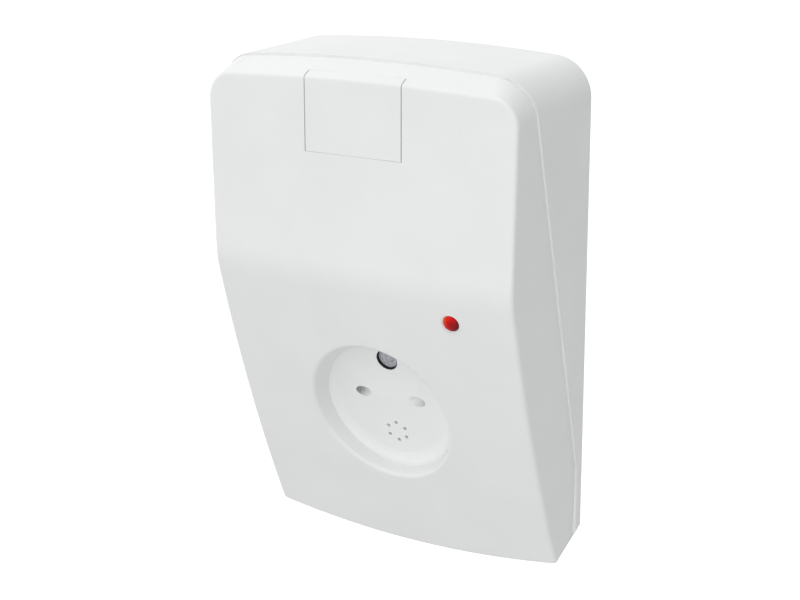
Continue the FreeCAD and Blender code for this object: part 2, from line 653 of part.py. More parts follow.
# Two tongues hook into the base. Each stands on a web that rises from the cover's foot.
tongues = []
for side in (-1, 1):
    tongues.append(block(WALL, f"{side} * tongue_side", "tongue_lift - hinge_height", "plate - tongue_long",
                         "tongue_wide", "tongue_thick", "tongue_long + wall"))
    tongues.append(block(WALL, f"{side} * tongue_side", "(wall + tongue_lift + tongue_thick / 2) / 2 - hinge_height",
                         "plate", "tongue_wide", "tongue_lift + tongue_thick / 2 - wall", "wall"))
pilots = [cylinder(BOARD, x, along, 0, "screw + play", f"{crease} + pilot") for x, along in dish_screws]
lamp_hole = cylinder(BOARD, "lamp_side", "lamp_height", 0, "lamp_radius + lamp_play", "face_depth")
cover_openings = fuse("cover_openings", [window, lamp_hole] + pilots)
front_cover = named(cut("cover", fuse("cover_with_tongues", [cover_shell] + tongues), cover_openings),
                    "front_cover")

# The base. One outline on the seam plane, drawn along Y, so that base and cover meet edge to edge;
# its front follows the seam down to the plate, and the box behind the seam is hollow.
base = new_body("rear_base")
base_outline = arch(sketch(base, "XZ_Plane", SEAM, "base_outline"), "width / 2",
                    "side_top / cos(seam_lean)", "top_rise", "corner", "-under")
feature(base, "Pad", base_outline, "base_block", UseCustomVector=True, Direction=vector(0, -1, 0),
        SideType="Symmetric", Length="4 * face_depth")
foot_cut(base, "foot_step", "base_foot")
plate_meets_seam = "(plate - seam_depth) / tan(seam_lean)"
seam_profile = polygon(sketch(base, "YZ_Plane", name="seam_profile"), [
    ("-4 * face_depth", "-width"), ("-plate", "-width"), ("-plate", plate_meets_seam),
    ("-(seam_depth + tan(seam_lean) * width)", "width"), ("-4 * face_depth", "width")])
across(base, "Pocket", seam_profile, "seam_cut")
inner_outline = arch(sketch(base, "XZ_Plane", ("0", "plate", "0"), "inner_outline"), "width / 2 - wall",
                     "side_top - wall", "top_rise", "corner - wall", "-under")
feature(base, "Pocket", inner_outline, "base_hollow", Reversed=True, Length="2 * face_depth")

# Posts for the board, the catch for the tab's barb, then the flat back and all the holes.
posts = [(f"{side} * post_side", place) for side in (-1, 1) for place in ("-post_low", "post_high")]


def on_board(body, out, name):
    depth, height = spot(BOARD, "0", out)
    return sketch(body, "XZ_Plane", ("dish_lean", depth, height), name)


post_circles = on_board(base, "-board_thick", "post_circles")
for x, along in posts:
    circle(post_circles, x, along, "post")
feature(base, "Pad", post_circles, "board_posts", Reversed=True, Length="2 * face_depth")
catch_top = "catch_height - catch_rise"
catch_front = "-(catch_depth + catch_slope)"
catch_under = "catch_height - catch_tall"
catch_profile = polygon(sketch(base, "YZ_Plane", name="catch_profile"), [
    ("-plate / 2", catch_under), ("-plate / 2", catch_top), ("-catch_depth", catch_top),
    ("-catch_depth", "catch_height"), (catch_front, catch_top), (catch_front, catch_under)])
across(base, "Pad", catch_profile, "catch", "catch_width")
back_cut(base, "0", "flat_back")
rounded(base, "base_foot_corners", "foot_corner", foot_corners)
post_holes = on_board(base, "-board_thick", "post_holes")
for x, along in posts:
    circle(post_holes, x, along, "screw + play")
feature(base, "Pocket", post_holes, "screw_holes", Length="post_bore")


def slot(item, x, height):
    """A slot that runs sideways, with round ends."""
    straight = "(slot_long / 2 - slot_half)"
    left = f"({x}) - {straight}"
    right = f"({x}) + {straight}"
    low = f"({height}) - slot_half"
    high = f"({height}) + slot_half"
    first = item.GeometryCount
    low_left = vector(value(left), value(low), 0)
    low_right = vector(value(right), value(low), 0)
    high_right = vector(value(right), value(high), 0)
    high_left = vector(value(left), value(high), 0)
    reach = vector(value("slot_half"), 0, 0)
    item.addGeometry(Part.LineSegment(low_left, low_right))
    item.addGeometry(Part.Arc(low_right, (low_right + high_right) / 2 + reach, high_right))
    item.addGeometry(Part.LineSegment(high_right, high_left))
    item.addGeometry(Part.Arc(high_left, (low_left + high_left) / 2 - reach, low_left))
    for side in range(4):
        fix(item, "Tangent", first + side, 2, first + (side + 1) % 4, 1)
    fix(item, "DistanceX", first, 1, size=left)
    fix(item, "DistanceX", first, 2, size=right)
    fix(item, "DistanceY", first, 1, size=low)
    fix(item, "DistanceY", first + 2, 1, size=high)
    return item


through_plate = dict(SideType="Symmetric", Length="3 * plate")
wall_slots = sketch(base, "XZ_Plane", name="wall_slots")
for side in (-1, 1):
    for height in ("slot_high", "-slot_low"):
        slot(wall_slots, f"{side} * slot_side", height)
feature(base, "Pocket", wall_slots, "wall_screw_slots", **through_plate)
entry = rectangle(sketch(base, "XZ_Plane", name="entry"), "-entry_side", "entry_height", "entry_wide", "entry_tall")
feature(base, "Pocket", entry, "cable_entry", **through_plate)
tongue_swing = "((tongue_lift + tongue_thick / 2) ^ 2 + tongue_long ^ 2) ^ 0.5"
slot_low_edge = "tongue_lift - tongue_thick / 2 - tongue_room - hinge_height"
slot_high_edge = f"{tongue_swing} + tongue_room - hinge_height"
for side in (-1, 1):
    tongue_slot = rectangle(sketch(base, "XZ_Plane", name="tongue_slot"), f"{side} * tongue_side",
                            f"({slot_low_edge} + {slot_high_edge}) / 2",
                            "tongue_wide + 2 * tongue_room", f"{slot_high_edge} - ({slot_low_edge})")
    feature(base, "Pocket", tongue_slot, "tongue_slot_cut", **through_plate)

# The acoustic dish. It sits behind the collar and carries its curve on down to a flat floor. A
# shallow horn leads to the microphone, small holes and two slanted ports lie below it, and three
# ears take the screws.
dish_back = "board_gap - floor_depth - dish_wall"
dish_floor = "board_gap - floor_depth"
blank = cylinder(BOARD, 0, 0, dish_back, "dish_radius + dish_rim", "floor_depth + dish_wall")
opening_column = cylinder(WALL, 0, "-dish_height", 0, "dish_radius", "2 * face_depth")
bowl = common("bowl", [opening_column, block(BOARD, 0, 0, dish_floor, "width", "width", "face_depth")])
bowl_blank = cut("bowl_blank", blank, bowl)
doc.recompute()


def lies_on_floor(edge):
    """True for the edge between the bowl's wall and its floor."""
    depth, height = spot(BOARD, "0", dish_floor)
    lean = math.radians(value("dish_lean"))
    out = [(-(corner.y + value(depth))) * math.cos(lean) - (corner.z - value(height)) * math.sin(lean)
           for corner in (edge.valueAt(edge.FirstParameter), edge.valueAt(edge.LastParameter))]
    return max(abs(distance) for distance in out) < 0.01


def part_fillet(name, base, radius, chosen):
    item = doc.addObject("Part::Fillet", name)
    item.Base = base
    item.Edges = [(number, value(radius), value(radius))
                  for number, edge in enumerate(base.Shape.Edges, 1) if chosen(edge)]
    return item


cove = part_fillet("cove", bowl_blank, "cove", lies_on_floor)
in_front = block(BOARD, 0, 0, crease, "width", "width", "face_depth")
ears = [cylinder(BOARD, x, along, f"{crease} - ear_thick", "ear", "ear_thick") for x, along in dish_screws]
mouth_end = "board_gap - horn_depth"
mouth_boss = cylinder(BOARD, 0, "mouth_height", f"{mouth_end} - mouth_wall", "mouth_boss", "mouth_wall + play")
dish_solid = fuse("dish_solid", [cut("dish_rim", cove, in_front), mouth_boss] + ears)
flare = "(horn_radius - mouth_radius) / (horn_depth - floor_depth)"
horn_long = "horn_depth - collar_depth + wall"
horn = common("horn", [opening_column, cone(BOARD, 0, "mouth_height", mouth_end, "mouth_radius",
                                            f"mouth_radius + {flare} * ({horn_long})", horn_long)])
holes = [horn, cylinder(BOARD, 0, "mouth_height", 0, "mouth_radius", crease)]
for turn in range(0, 360, 60):
    holes.append(cylinder(BOARD, f"ring_radius * cos({turn})", f"ring_radius * sin({turn}) - ring_drop",
                          0, "ring_hole", crease))
holes += [cylinder(BOARD, x, along, 0, "screw + play", "board_gap") for x, along in dish_screws]


def slanted_bore(side):
    """A short bore that runs inwards and away to one side, drawn upright with its mouth at zero height."""
    item = doc.addObject("Part::Cylinder", "slanted_bore")
    bind(item, Radius="port_radius", Height="4 * dish_wall")
    item.Placement = FreeCAD.Placement(vector(), FreeCAD.Rotation(vector(0, side, 0), 90))
    return bind(item, Placement__Rotation__Angle="180 - port_slant",
                Placement__Base__x=f"{side} * (port_offset - dish_wall * sin(port_slant))",
                Placement__Base__z="dish_wall * cos(port_slant)")


holes.append(seat(fuse("slanted_ports", [slanted_bore(side) for side in (-1, 1)]), BOARD, 0, "port_height", dish_floor))
acoustic_dish = named(cut("dish", dish_solid, fuse("dish_holes", holes)), "acoustic_dish")


# Screws. Each has a shank, a head that tapers a little and a cross recess.
def screw(frame, x, along, seat_out, length, facing=1):
    """A pan-head screw whose head stands on seat_out; facing is 1 for outwards and -1 for inwards."""
    thick = "screw_head_thick"
    collar_part = f"0.6 * {thick}"
    rest = f"0.4 * {thick}"
    if facing > 0:
        shank_from = f"({seat_out}) - ({length})"
        head_from = seat_out
        top_from = f"({seat_out}) + {collar_part}"
        recess_from = f"({seat_out}) + {thick} / 2"
        radii = ("screw_head", "0.75 * screw_head")
    else:
        shank_from = seat_out
        head_from = f"({seat_out}) - {collar_part}"
        top_from = f"({seat_out}) - {thick}"
        recess_from = f"({seat_out}) - {thick}"
        radii = ("0.75 * screw_head", "screw_head")
    solid = fuse("screw_blank", [
        cylinder(frame, x, along, shank_from, "screw", length),
        cylinder(frame, x, along, head_from, "screw_head", collar_part),
        cone(frame, x, along, top_from, radii[0], radii[1], rest)])
    cross = fuse("cross", [
        block(frame, x, along, recess_from, "1.2 * screw_head", "recess", f"{thick} / 2"),
        block(frame, x, along, recess_from, "recess", "1.2 * screw_head", f"{thick} / 2")])
    return cut("screw", solid, cross)


dish_screw_set = named(fuse("dish_screw_set", [
    screw(BOARD, x, along, f"{crease} - ear_thick", "ear_thick + pilot - screw_air", -1) for x, along in dish_screws]),
    "dish_screws")
board_screw_set = named(fuse("board_screw_set", [
    screw(BOARD, x, along, 0, "board_thick + post_bore - screw_air") for x, along in posts]), "board_screws")

# The circuit board, on the four posts.
board = new_body("circuit_board")
board_middle = "(board_high - board_low) / 2"
board_outline = rectangle(on_board(board, "-board_thick", "board_outline"), "0", board_middle,
                          "2 * board_half", "board_high + board_low")
feature(board, "Pad", board_outline, "board_blank", Length="board_thick")


def upright_corners(shape):
    """The four short edges through the board's thickness."""
    return [edge for edge in shape.Edges if abs(edge.Length - value("board_thick")) < 0.001]


rounded(board, "board_corners", "board_corner", upright_corners)
board_holes = on_board(board, "0", "board_holes")
for x, along in posts:
    circle(board_holes, x, along, "screw + 4 * play")
feature(board, "Pocket", board_holes, "board_screw_holes", Length="board_thick")


# Pieces on the board are drawn upright in bodies of their own and seated in the board's frame.
def board_body(name, x, along):
    return seat(new_body(name), BOARD, x, along)


def turned(name, x, along, corners, arcs=None):
    """A round piece: a side profile turned about its own axis."""
    item = board_body(name, x, along)
    profile = polygon(sketch(item, "XZ_Plane", name=f"{name}_profile"), corners, arcs)
    revolution = feature(item, "Revolution", profile, f"{name}_turned")
    revolution.ReferenceAxis = (profile, ["V_Axis"])
    return item


# The microphone: a metal capsule in a rubber boot, whose neck reaches into the dish's opening and
# holds a disc of felt.
boot_inside = "capsule + play"
boot_outside = "capsule + play + boot_wall"
shoulder = "capsule_top + boot_cover"
neck_rim = f"{mouth_end} - neck_sunk"
boot = turned("microphone_boot", 0, "mouth_height", [
    (boot_inside, 0), (boot_outside, 0), (boot_outside, shoulder), ("neck", shoulder), ("neck", neck_rim),
    ("neck - neck_wall", neck_rim), ("neck - neck_wall", "capsule_top"), (boot_inside, "capsule_top")])
capsule = named(cut("capsule", cylinder(BOARD, 0, "mouth_height", 0, "capsule", "capsule_top"),
                    cylinder(BOARD, 0, "mouth_height", "capsule_top - boot_cover", "capsule / 3", "boot_cover")),
                "microphone_capsule")
felt = named(cylinder(BOARD, 0, "mouth_height", "capsule_top", "neck - neck_wall - play", "felt"),
             "microphone_felt")

# The lamp: a light-emitting diode on the board and a clear red lens in the cover's face above it.
led_shoulder = "led_top - led_radius"
led = turned("indicator_led", "lamp_side", "lamp_height", [
    (0, 0), ("led_radius + led_flange", 0), ("led_radius + led_flange", "led_base"), ("led_radius", "led_base"),
    ("led_radius", led_shoulder), (0, "led_top")], {4: "led_radius"})
lens_seat = "lamp_face - wall - lamp_seat"
stem_foot = "led_top + lamp_air"
dome_radius = "(lamp_radius ^ 2 + (lamp_dome + lamp_sunk) ^ 2) / (2 * (lamp_dome + lamp_sunk))"
lens = turned("lamp_lens", "lamp_side", "lamp_height", [
    (0, stem_foot), ("stem", stem_foot), ("stem", f"{lens_seat} - flange"),
    ("lamp_radius + flange", f"{lens_seat} - flange"), ("lamp_radius + flange", lens_seat),
    ("lamp_radius", lens_seat), ("lamp_radius", "lamp_face - lamp_sunk"), (0, "lamp_face + lamp_dome")],
    {6: dome_radius})

# The sounder that tests the microphone, behind the ring of small holes.
sounder = named(cut("sounder_can", cylinder(BOARD, 0, "-ring_drop", 0, "sounder_radius", "sounder_thick"),
                    cylinder(BOARD, 0, "-ring_drop", "sounder_thick / 2", "ring_hole + play", "sounder_thick")),
                "sounder")

# The terminal block: four clamps with their mouths towards the board's upper edge.
ways = [f"{place} * way_pitch - block_side" for place in (-1.5, -0.5, 0.5, 1.5)]
block_solid = block(BOARD, "-block_side", "block_height", 0, "4 * way_pitch", "block_wide", "block_tall")
clamp_height = "block_height - block_wide / 12"
clamp_foot = "block_tall - clamp_sunk - clamp_long"
mouths = [block(BOARD, x, "block_height + block_wide / 4", "block_floor", "mouth_wide", "block_wide / 2 + play",
                "mouth_tall") for x in ways]
wells = [cylinder(BOARD, x, clamp_height, clamp_foot, "clamp_screw + 2 * play", "block_tall") for x in ways]
terminal_block = named(cut("terminals", block_solid, fuse("terminal_holes", mouths + wells)), "terminal_block")
clamps = []
for x in ways:
    shank = cylinder(BOARD, x, clamp_height, clamp_foot, "clamp_screw", "clamp_long")
    clamp_slot = block(BOARD, x, clamp_height, "block_tall - clamp_sunk - recess", "3 * clamp_screw", "recess",
                       "2 * recess")
    clamps.append(cut("clamp", shank, clamp_slot))
terminal_screws = named(fuse("clamps", clamps), "terminal_screws")


def soft_box(name, x, along, wide, high, tall):
    """A moulded case: a padded rectangle with rounded upright and top edges."""
    item = board_body(name, x, along)
    outline = rectangle(sketch(item, "XY_Plane", name=f"{name}_outline"), "0", "0", wide, high)
    feature(item, "Pad", outline, f"{name}_blank", Length=tall)
    rounded(item, f"{name}_edges", "case_round",
            lambda shape: [edge for edge in shape.Edges if edge.BoundBox.ZMax > value(tall) / 2])
    return item


# The alarm relay, the tamper switch with its plunger, and the trimmer with its rotor.
relay = soft_box("alarm_relay", "row_side", "-relay_drop", "relay_wide", "relay_long", "relay_tall")


def pocketed(item, radius, bottom, depth, name):
    """Sink a round hole of a given depth into the top of an upright piece."""
    hole = circle(sketch(item, "XY_Plane", ("0", f"({bottom}) + ({depth})", "0"), name), "0", "0", radius)
    feature(item, "Pocket", hole, f"{name}_cut", Length=depth)
    return item


tamper_switch = soft_box("tamper_switch", "row_side", "tamper_height", "tamper_body", "tamper_body",
                         "tamper_tall")
pocketed(tamper_switch, "plunger + plunger_play", "switch_floor", "tamper_tall - switch_floor", "plunger_bore")
tamper_plunger = named(cylinder(BOARD, "row_side", "tamper_height", "switch_floor + play", "plunger",
                                "tamper_tall + plunger_out - switch_floor - play"), "tamper_plunger")
trimmer = soft_box("sensitivity_trimmer", "-row_side", "trimmer_height", "trimmer_body", "trimmer_body",
                   "trimmer_tall")
pocketed(trimmer, "rotor + rotor_play", "trimmer_tall - rotor_deep", "rotor_deep", "rotor_bore")
rotor_foot = "trimmer_tall - rotor_deep"
rotor_blank = cylinder(BOARD, "-row_side", "trimmer_height", rotor_foot, "rotor", "rotor_deep + rotor_top")
rotor_slot = block(BOARD, "-row_side", "trimmer_height", "trimmer_tall + rotor_top - 2 * recess",
                   "3 * rotor", "1.4 * recess", "4 * recess")
rotor_arrow = block(BOARD, "-row_side", "trimmer_height + rotor / 2", "trimmer_tall + rotor_top - 2 * recess",
                    "1.4 * recess", "rotor", "4 * recess")
trimmer_rotor = named(cut("rotor", rotor_blank, fuse("rotor_slots", [rotor_slot, rotor_arrow])), "trimmer_rotor")

# The jumper header: two rows of three pins in a base, and two caps pushed on.
pin_places = [(f"{column} * pin_pitch - row_side", f"{row} * pin_pitch - header_drop")
              for column in (-0.5, 0.5) for row in (-1, 0, 1)]
header_base = block(BOARD, "-row_side", "-header_drop", 0, "2 * pin_pitch", "3 * pin_pitch", "header_tall")
pins = [block(BOARD, x, along, 0, "pin", "pin", "pin_top") for x, along in pin_places]
jumper_header = named(fuse("header", [header_base] + pins), "jumper_header")
caps = []
for row in (-1, 1):
    along = f"{row} * pin_pitch - header_drop"
    cap = block(BOARD, "-row_side", along, "header_tall + play", "2 * pin_pitch - cap_air", "pin_pitch - cap_air",
                "cap_tall")
    sockets = [block(BOARD, f"{column} * pin_pitch - row_side", along, 0, "pin + 2 * play", "pin + 2 * play",
                     "pin_top + 2 * play") for column in (-0.5, 0.5)]
    caps.append(cut("cap", cap, fuse("cap_sockets", sockets)))
jumper_caps = named(fuse("caps", caps), "jumper_caps")

# The signal processor with leads on all four sides.
chip_blank = block(BOARD, "chip_side", "chip_height", "chip_air", "chip", "chip", "chip_tall - chip_air")
leads = []
for place in range(-3, 4):
    step = f"{place} * lead_pitch"
    for side in (-1, 1):
        reach = f"{side} * (chip / 2 + lead)"
        leads.append(block(BOARD, f"chip_side + {reach}", f"chip_height + {step}", 0, "4 * lead", "lead", "2 * lead"))
        leads.append(block(BOARD, f"chip_side + {step}", f"chip_height + {reach}", 0, "lead", "4 * lead", "2 * lead"))
signal_processor = named(fuse("processor", [chip_blank] + leads), "signal_processor")

# Filter capacitors, the clock crystal and the small chips.
cans = []
for side in (-1, 1):
    along = f"chip_height + {side} * can_pitch / 2"
    can_foot = block(BOARD, "can_side", along, 0, "2.1 * can_radius", "2.1 * can_radius", "can_radius / 2")
    cans.append(fuse("can", [cylinder(BOARD, "can_side", along, 0, "can_radius", "can_tall"), can_foot]))
filter_capacitors = named(fuse("cans", cans), "filter_capacitors")
crystal_straight = "crystal_long - crystal_wide"
crystal_parts = [block(BOARD, "-crystal_side", "chip_height", 0, "crystal_wide", crystal_straight, "crystal_tall")]
crystal_parts += [cylinder(BOARD, "-crystal_side", f"chip_height + {side} * ({crystal_straight}) / 2", 0,
                           "crystal_wide / 2", "crystal_tall") for side in (-1, 1)]
clock_crystal = named(fuse("crystal", crystal_parts), "clock_crystal")
small_places = []
for side in (-1, 1):
    outer = f"{side} * (board_half - small_inset)"
    small_places += [(outer, f"small_high + {row} * small_pitch") for row in (-1, 0, 1)]
    small_places += [(f"{side} * {column} * small_pitch", "-small_low") for column in (1, 3, 5)]
    small_places.append((f"{side} * 3 * small_pitch", "small_high"))
chips = [block(BOARD, x, along, 0, "small_long", "small_wide", "small_thick") for x, along in small_places]
chip_components = named(fuse("chips", chips), "chip_components")

nodes = [base, front_cover, release_tab, acoustic_dish, dish_screw_set, lens, board, board_screw_set, boot,
         capsule, felt, led, sounder, terminal_block, terminal_screws, relay, tamper_switch, tamper_plunger,
         trimmer, trimmer_rotor, jumper_header, jumper_caps, signal_processor, filter_capacitors, clock_crystal,
         chip_components]
doc.recompute()
for item in doc.Objects:
    if "Invalid" in item.State or "Error" in item.State:
        raise RuntimeError(f"{item.Label} failed")
for item in nodes:
    if item.Shape.isNull() or not item.Shape.isValid():
        raise RuntimeError(f"{item.Label} has no valid shape")
os.makedirs("parts", exist_ok=True)
for item in nodes:
    item.Shape.exportStep(f"parts/{item.Label}.step")
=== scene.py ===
import math

import bmesh
import bpy
from mathutils import Matrix, Vector, noise


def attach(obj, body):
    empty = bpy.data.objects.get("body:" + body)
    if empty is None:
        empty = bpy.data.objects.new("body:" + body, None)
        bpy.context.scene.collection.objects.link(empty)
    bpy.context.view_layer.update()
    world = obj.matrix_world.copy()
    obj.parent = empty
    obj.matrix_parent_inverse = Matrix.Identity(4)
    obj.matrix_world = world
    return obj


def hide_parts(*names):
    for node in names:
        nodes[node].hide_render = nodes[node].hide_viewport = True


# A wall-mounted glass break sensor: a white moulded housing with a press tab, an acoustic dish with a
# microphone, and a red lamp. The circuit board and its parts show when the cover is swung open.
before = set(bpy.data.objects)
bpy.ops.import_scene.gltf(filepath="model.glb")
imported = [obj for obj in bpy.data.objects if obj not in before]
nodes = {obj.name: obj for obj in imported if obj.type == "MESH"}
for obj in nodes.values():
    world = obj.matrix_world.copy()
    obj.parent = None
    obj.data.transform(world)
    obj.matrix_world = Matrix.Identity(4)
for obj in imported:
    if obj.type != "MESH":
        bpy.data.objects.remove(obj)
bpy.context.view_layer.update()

scene = bpy.context.scene

# The camera stands to the right of the sensor and a little above it, as in the photograph, with a
# lens of short telephoto length.
CAMERA_PLACE = (0.16655, -0.29689, 0.10803)
CAMERA_AZIMUTH = 30.586
CAMERA_ELEVATION = 17.826
CAMERA_ROLL = -0.589
CAMERA_LENS = 73.24
CAMERA_SENSOR = 36.0
CAMERA_NEAR, CAMERA_FAR = 0.01, 20.0

camera = bpy.data.objects.new("camera", bpy.data.cameras.new("camera"))
scene.collection.objects.link(camera)
camera.data.sensor_width = CAMERA_SENSOR
camera.data.lens = CAMERA_LENS
camera.data.clip_start = CAMERA_NEAR
camera.data.clip_end = CAMERA_FAR
camera.matrix_world = (Matrix.Translation(CAMERA_PLACE)
                       @ Matrix.Rotation(math.radians(CAMERA_AZIMUTH), 4, "Z")
                       @ Matrix.Rotation(math.radians(90 - CAMERA_ELEVATION), 4, "X")
                       @ Matrix.Rotation(math.radians(CAMERA_ROLL), 4, "Z"))
scene.camera = camera

# The housing: base, cover and press tab are moulded in white ABS, with a fine satin grain from the
# mould and a faint unevenness of colour and gloss. The base is screwed to the wall, and the cover
# hangs in its foot.
HOUSING_PALE = (0.872, 0.877, 0.874)
HOUSING_SHADED = (0.850, 0.855, 0.852)
HOUSING_ROUGHNESS = (0.36, 0.48)
HOUSING_GRAIN = 5200.0
HOUSING_GRAIN_DEPTH = 0.000012
PATTERN_LOW, PATTERN_HIGH = 0.3, 0.7
PATCHES_FINER = 4.0


def start_finish(name):
    """A new material, its node tree and its shader."""
    finish = bpy.data.materials.new(name)
    finish.use_nodes = True
    tree = finish.node_tree
    return finish, tree, tree.nodes["Principled BSDF"]


def noise_node(tree, source, scale, detail=3.0, roughness=0.55):
    cloud = tree.nodes.new("ShaderNodeTexNoise")
    cloud.inputs["Scale"].default_value = scale
    cloud.inputs["Detail"].default_value = detail
    cloud.inputs["Roughness"].default_value = roughness
    tree.links.new(source, cloud.inputs["Vector"])
    return cloud.outputs["Fac"]


def between_colours(tree, amount, first, second, start=0.35, end=0.65):
    """A ramp from one colour to another, driven by a pattern."""
    ramp = tree.nodes.new("ShaderNodeValToRGB")
    low, high = ramp.color_ramp.elements
    low.position, low.color = start, (*first, 1.0)
    high.position, high.color = end, (*second, 1.0)
    tree.links.new(amount, ramp.inputs["Fac"])
    return ramp.outputs["Color"]


def between_numbers(tree, amount, low, high):
    """A number that follows a noise pattern from low to high."""
    spread = tree.nodes.new("ShaderNodeMapRange")
    spread.inputs["From Min"].default_value = PATTERN_LOW
    spread.inputs["From Max"].default_value = PATTERN_HIGH
    spread.inputs["To Min"].default_value = low
    spread.inputs["To Max"].default_value = high
    tree.links.new(amount, spread.inputs["Value"])
    return spread.outputs["Result"]


def roughened(tree, shader, amount, depth, strength=0.6):
    """Small unevenness of the surface, as deep as depth."""
    bump = tree.nodes.new("ShaderNodeBump")
    bump.inputs["Strength"].default_value = strength
    bump.inputs["Distance"].default_value = depth
    tree.links.new(amount, bump.inputs["Height"])
    tree.links.new(bump.outputs["Normal"], shader.inputs["Normal"])


def object_place(tree):
    return tree.nodes.new("ShaderNodeTexCoord").outputs["Object"]


def moulded(name, pale, shaded, roughness, grain, depth, cloud_scale=70.0):
    """Moulded plastic: a faint unevenness of colour and gloss, and a grain from the mould."""
    finish, tree, shader = start_finish(name)
    place = object_place(tree)
    cloud = noise_node(tree, place, cloud_scale)
    tree.links.new(between_colours(tree, cloud, shaded, pale), shader.inputs["Base Color"])
    patches = noise_node(tree, place, PATCHES_FINER * cloud_scale)
    tree.links.new(between_numbers(tree, patches, *roughness), shader.inputs["Roughness"])
    roughened(tree, shader, noise_node(tree, place, grain, detail=2.0), depth)
    return finish


def dress(finish, *names):
    """Give CAD nodes their finish."""
    for name in names:
        nodes[name].data.materials.clear()
        nodes[name].data.materials.append(finish)


white_plastic = moulded("white_plastic", HOUSING_PALE, HOUSING_SHADED, HOUSING_ROUGHNESS,
                        HOUSING_GRAIN, HOUSING_GRAIN_DEPTH)
dress(white_plastic, "rear_base", "front_cover", "release_tab", "acoustic_dish")

# The cover is one ABS moulding. Its rear rim is a little smaller than the base, so that the two never
# look out of line: the base's edge shows as a thin ledge, pale up the sides and darker over the top.
SEAM_LEAN = 15.2
SEAM_DEPTH = 0.0114
PLATE_FRONT = -0.0024
LEDGE_MORE = 0.0002
LEDGE_MORE_ON_TOP = 0.00015
FOOT_LIMIT = -0.050
TOUCHING = 1e-7
ON_RIM = 0.00003
SIDE_FACING = 0.4


def leaning_out(lean):
    """The way out of a plane that leans back from the wall's upright."""
    return Vector((0, -math.cos(math.radians(lean)), -math.sin(math.radians(lean))))


def merged_copy(name):
    """A CAD node's mesh, copied and merged, which remembers the normals that it came with."""
    mesh = nodes[name].data.copy()
    kept = mesh.attributes.new("kept_normal", "FLOAT_VECTOR", "CORNER")
    kept.data.foreach_set("vector", [value for corner in mesh.corner_normals for value in corner.vector])
    shape = bmesh.new()
    shape.from_mesh(mesh)
    bmesh.ops.remove_doubles(shape, verts=shape.verts, dist=TOUCHING)
    return mesh, shape


def moulded_shell(name, mesh, shape, body, replaced):
    """Finish a changed copy of a shell with the kept normals."""
    shape.to_mesh(mesh)
    shape.free()
    normals = [0.0] * (3 * len(mesh.loops))
    mesh.attributes["kept_normal"].data.foreach_get("vector", normals)
    mesh.attributes.remove(mesh.attributes["kept_normal"])
    mesh.normals_split_custom_set([normals[start:start + 3] for start in range(0, len(normals), 3)])
    mesh.materials.clear()
    mesh.materials.append(white_plastic)
    shell = bpy.data.objects.new(name, mesh)
    scene.collection.objects.link(shell)
    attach(shell, body)
    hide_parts(replaced)


seam_out = leaning_out(SEAM_LEAN)
mesh, shape = merged_copy("front_cover")
moved = []
for corner in shape.verts:
    on_seam = abs((corner.co - Vector((0, -SEAM_DEPTH, 0))).dot(seam_out)) < ON_RIM
    on_plate = abs(corner.co.y - PLATE_FRONT) < ON_RIM
    if corner.co.z < FOOT_LIMIT or not (on_seam or on_plate):
        continue
    from_middle = Vector((corner.co.x, 0, corner.co.z))
    outward = Vector()
    for face in corner.link_faces:
        if abs(face.normal.dot(seam_out)) < SIDE_FACING and face.normal.dot(from_middle) > 0:
            outward += face.normal * face.calc_area()
    outward -= outward.dot(seam_out) * seam_out
    if outward.length > 0:
        outward.normalize()
        ledge = LEDGE_MORE + LEDGE_MORE_ON_TOP * max(0, outward.z) ** 2
        moved.append((corner, -ledge * outward))
for corner, shift in moved:
    corner.co += shift

# The cover's round opening is drawn straight from the front, with a collar behind it. The collar's
# wall draws in towards the dish, so that it faces a little forward.
BOARD_LEAN = 17.5
OPENING_RADIUS, OPENING_HEIGHT = 0.016, -0.0197
WALL_DRAWN_IN = 0.0009
WALL_SLANT = math.radians(16.0)
ON_WALL = 0.00002
WALL_FACING = 0.12
END_FACING = 0.99


def from_opening_axis(corner):
    return Vector((corner.co.x, 0, corner.co.z - OPENING_HEIGHT))


collar_facing = leaning_out(BOARD_LEAN)
kept = shape.loops.layers.float_vector["kept_normal"]
wall_ends = set()
for face in shape.faces:
    off_wall = any(abs(from_opening_axis(corner).length - OPENING_RADIUS) > ON_WALL for corner in face.verts)
    if abs(face.normal.y) > WALL_FACING or off_wall:
        continue
    for loop in face.loops:
        towards_axis = -from_opening_axis(loop.vert).normalized()
        loop[kept] = math.cos(WALL_SLANT) * towards_axis - math.sin(WALL_SLANT) * Vector((0, 1, 0))
        if any(abs(near.normal.dot(collar_facing)) > END_FACING for near in loop.vert.link_faces):
            wall_ends.add(loop.vert)
for corner in wall_ends:
    corner.co -= WALL_DRAWN_IN * from_opening_axis(corner).normalized()
moulded_shell("cover_shell", mesh, shape, "cover", "front_cover")

# The press tab is moulded in one with the cover, bends at its root and is parted from the cover by
# two fine slits. Its sides stand close to the cover's.
TAB_SIDE_FROM = 0.0103
SIDE_MORE = 0.00016

mesh, shape = merged_copy("release_tab")
for corner in shape.verts:
    if abs(corner.co.x) > TAB_SIDE_FROM:
        corner.co.x += math.copysign(SIDE_MORE, corner.co.x)
moulded_shell("tab_shell", mesh, shape, "press_tab", "release_tab")

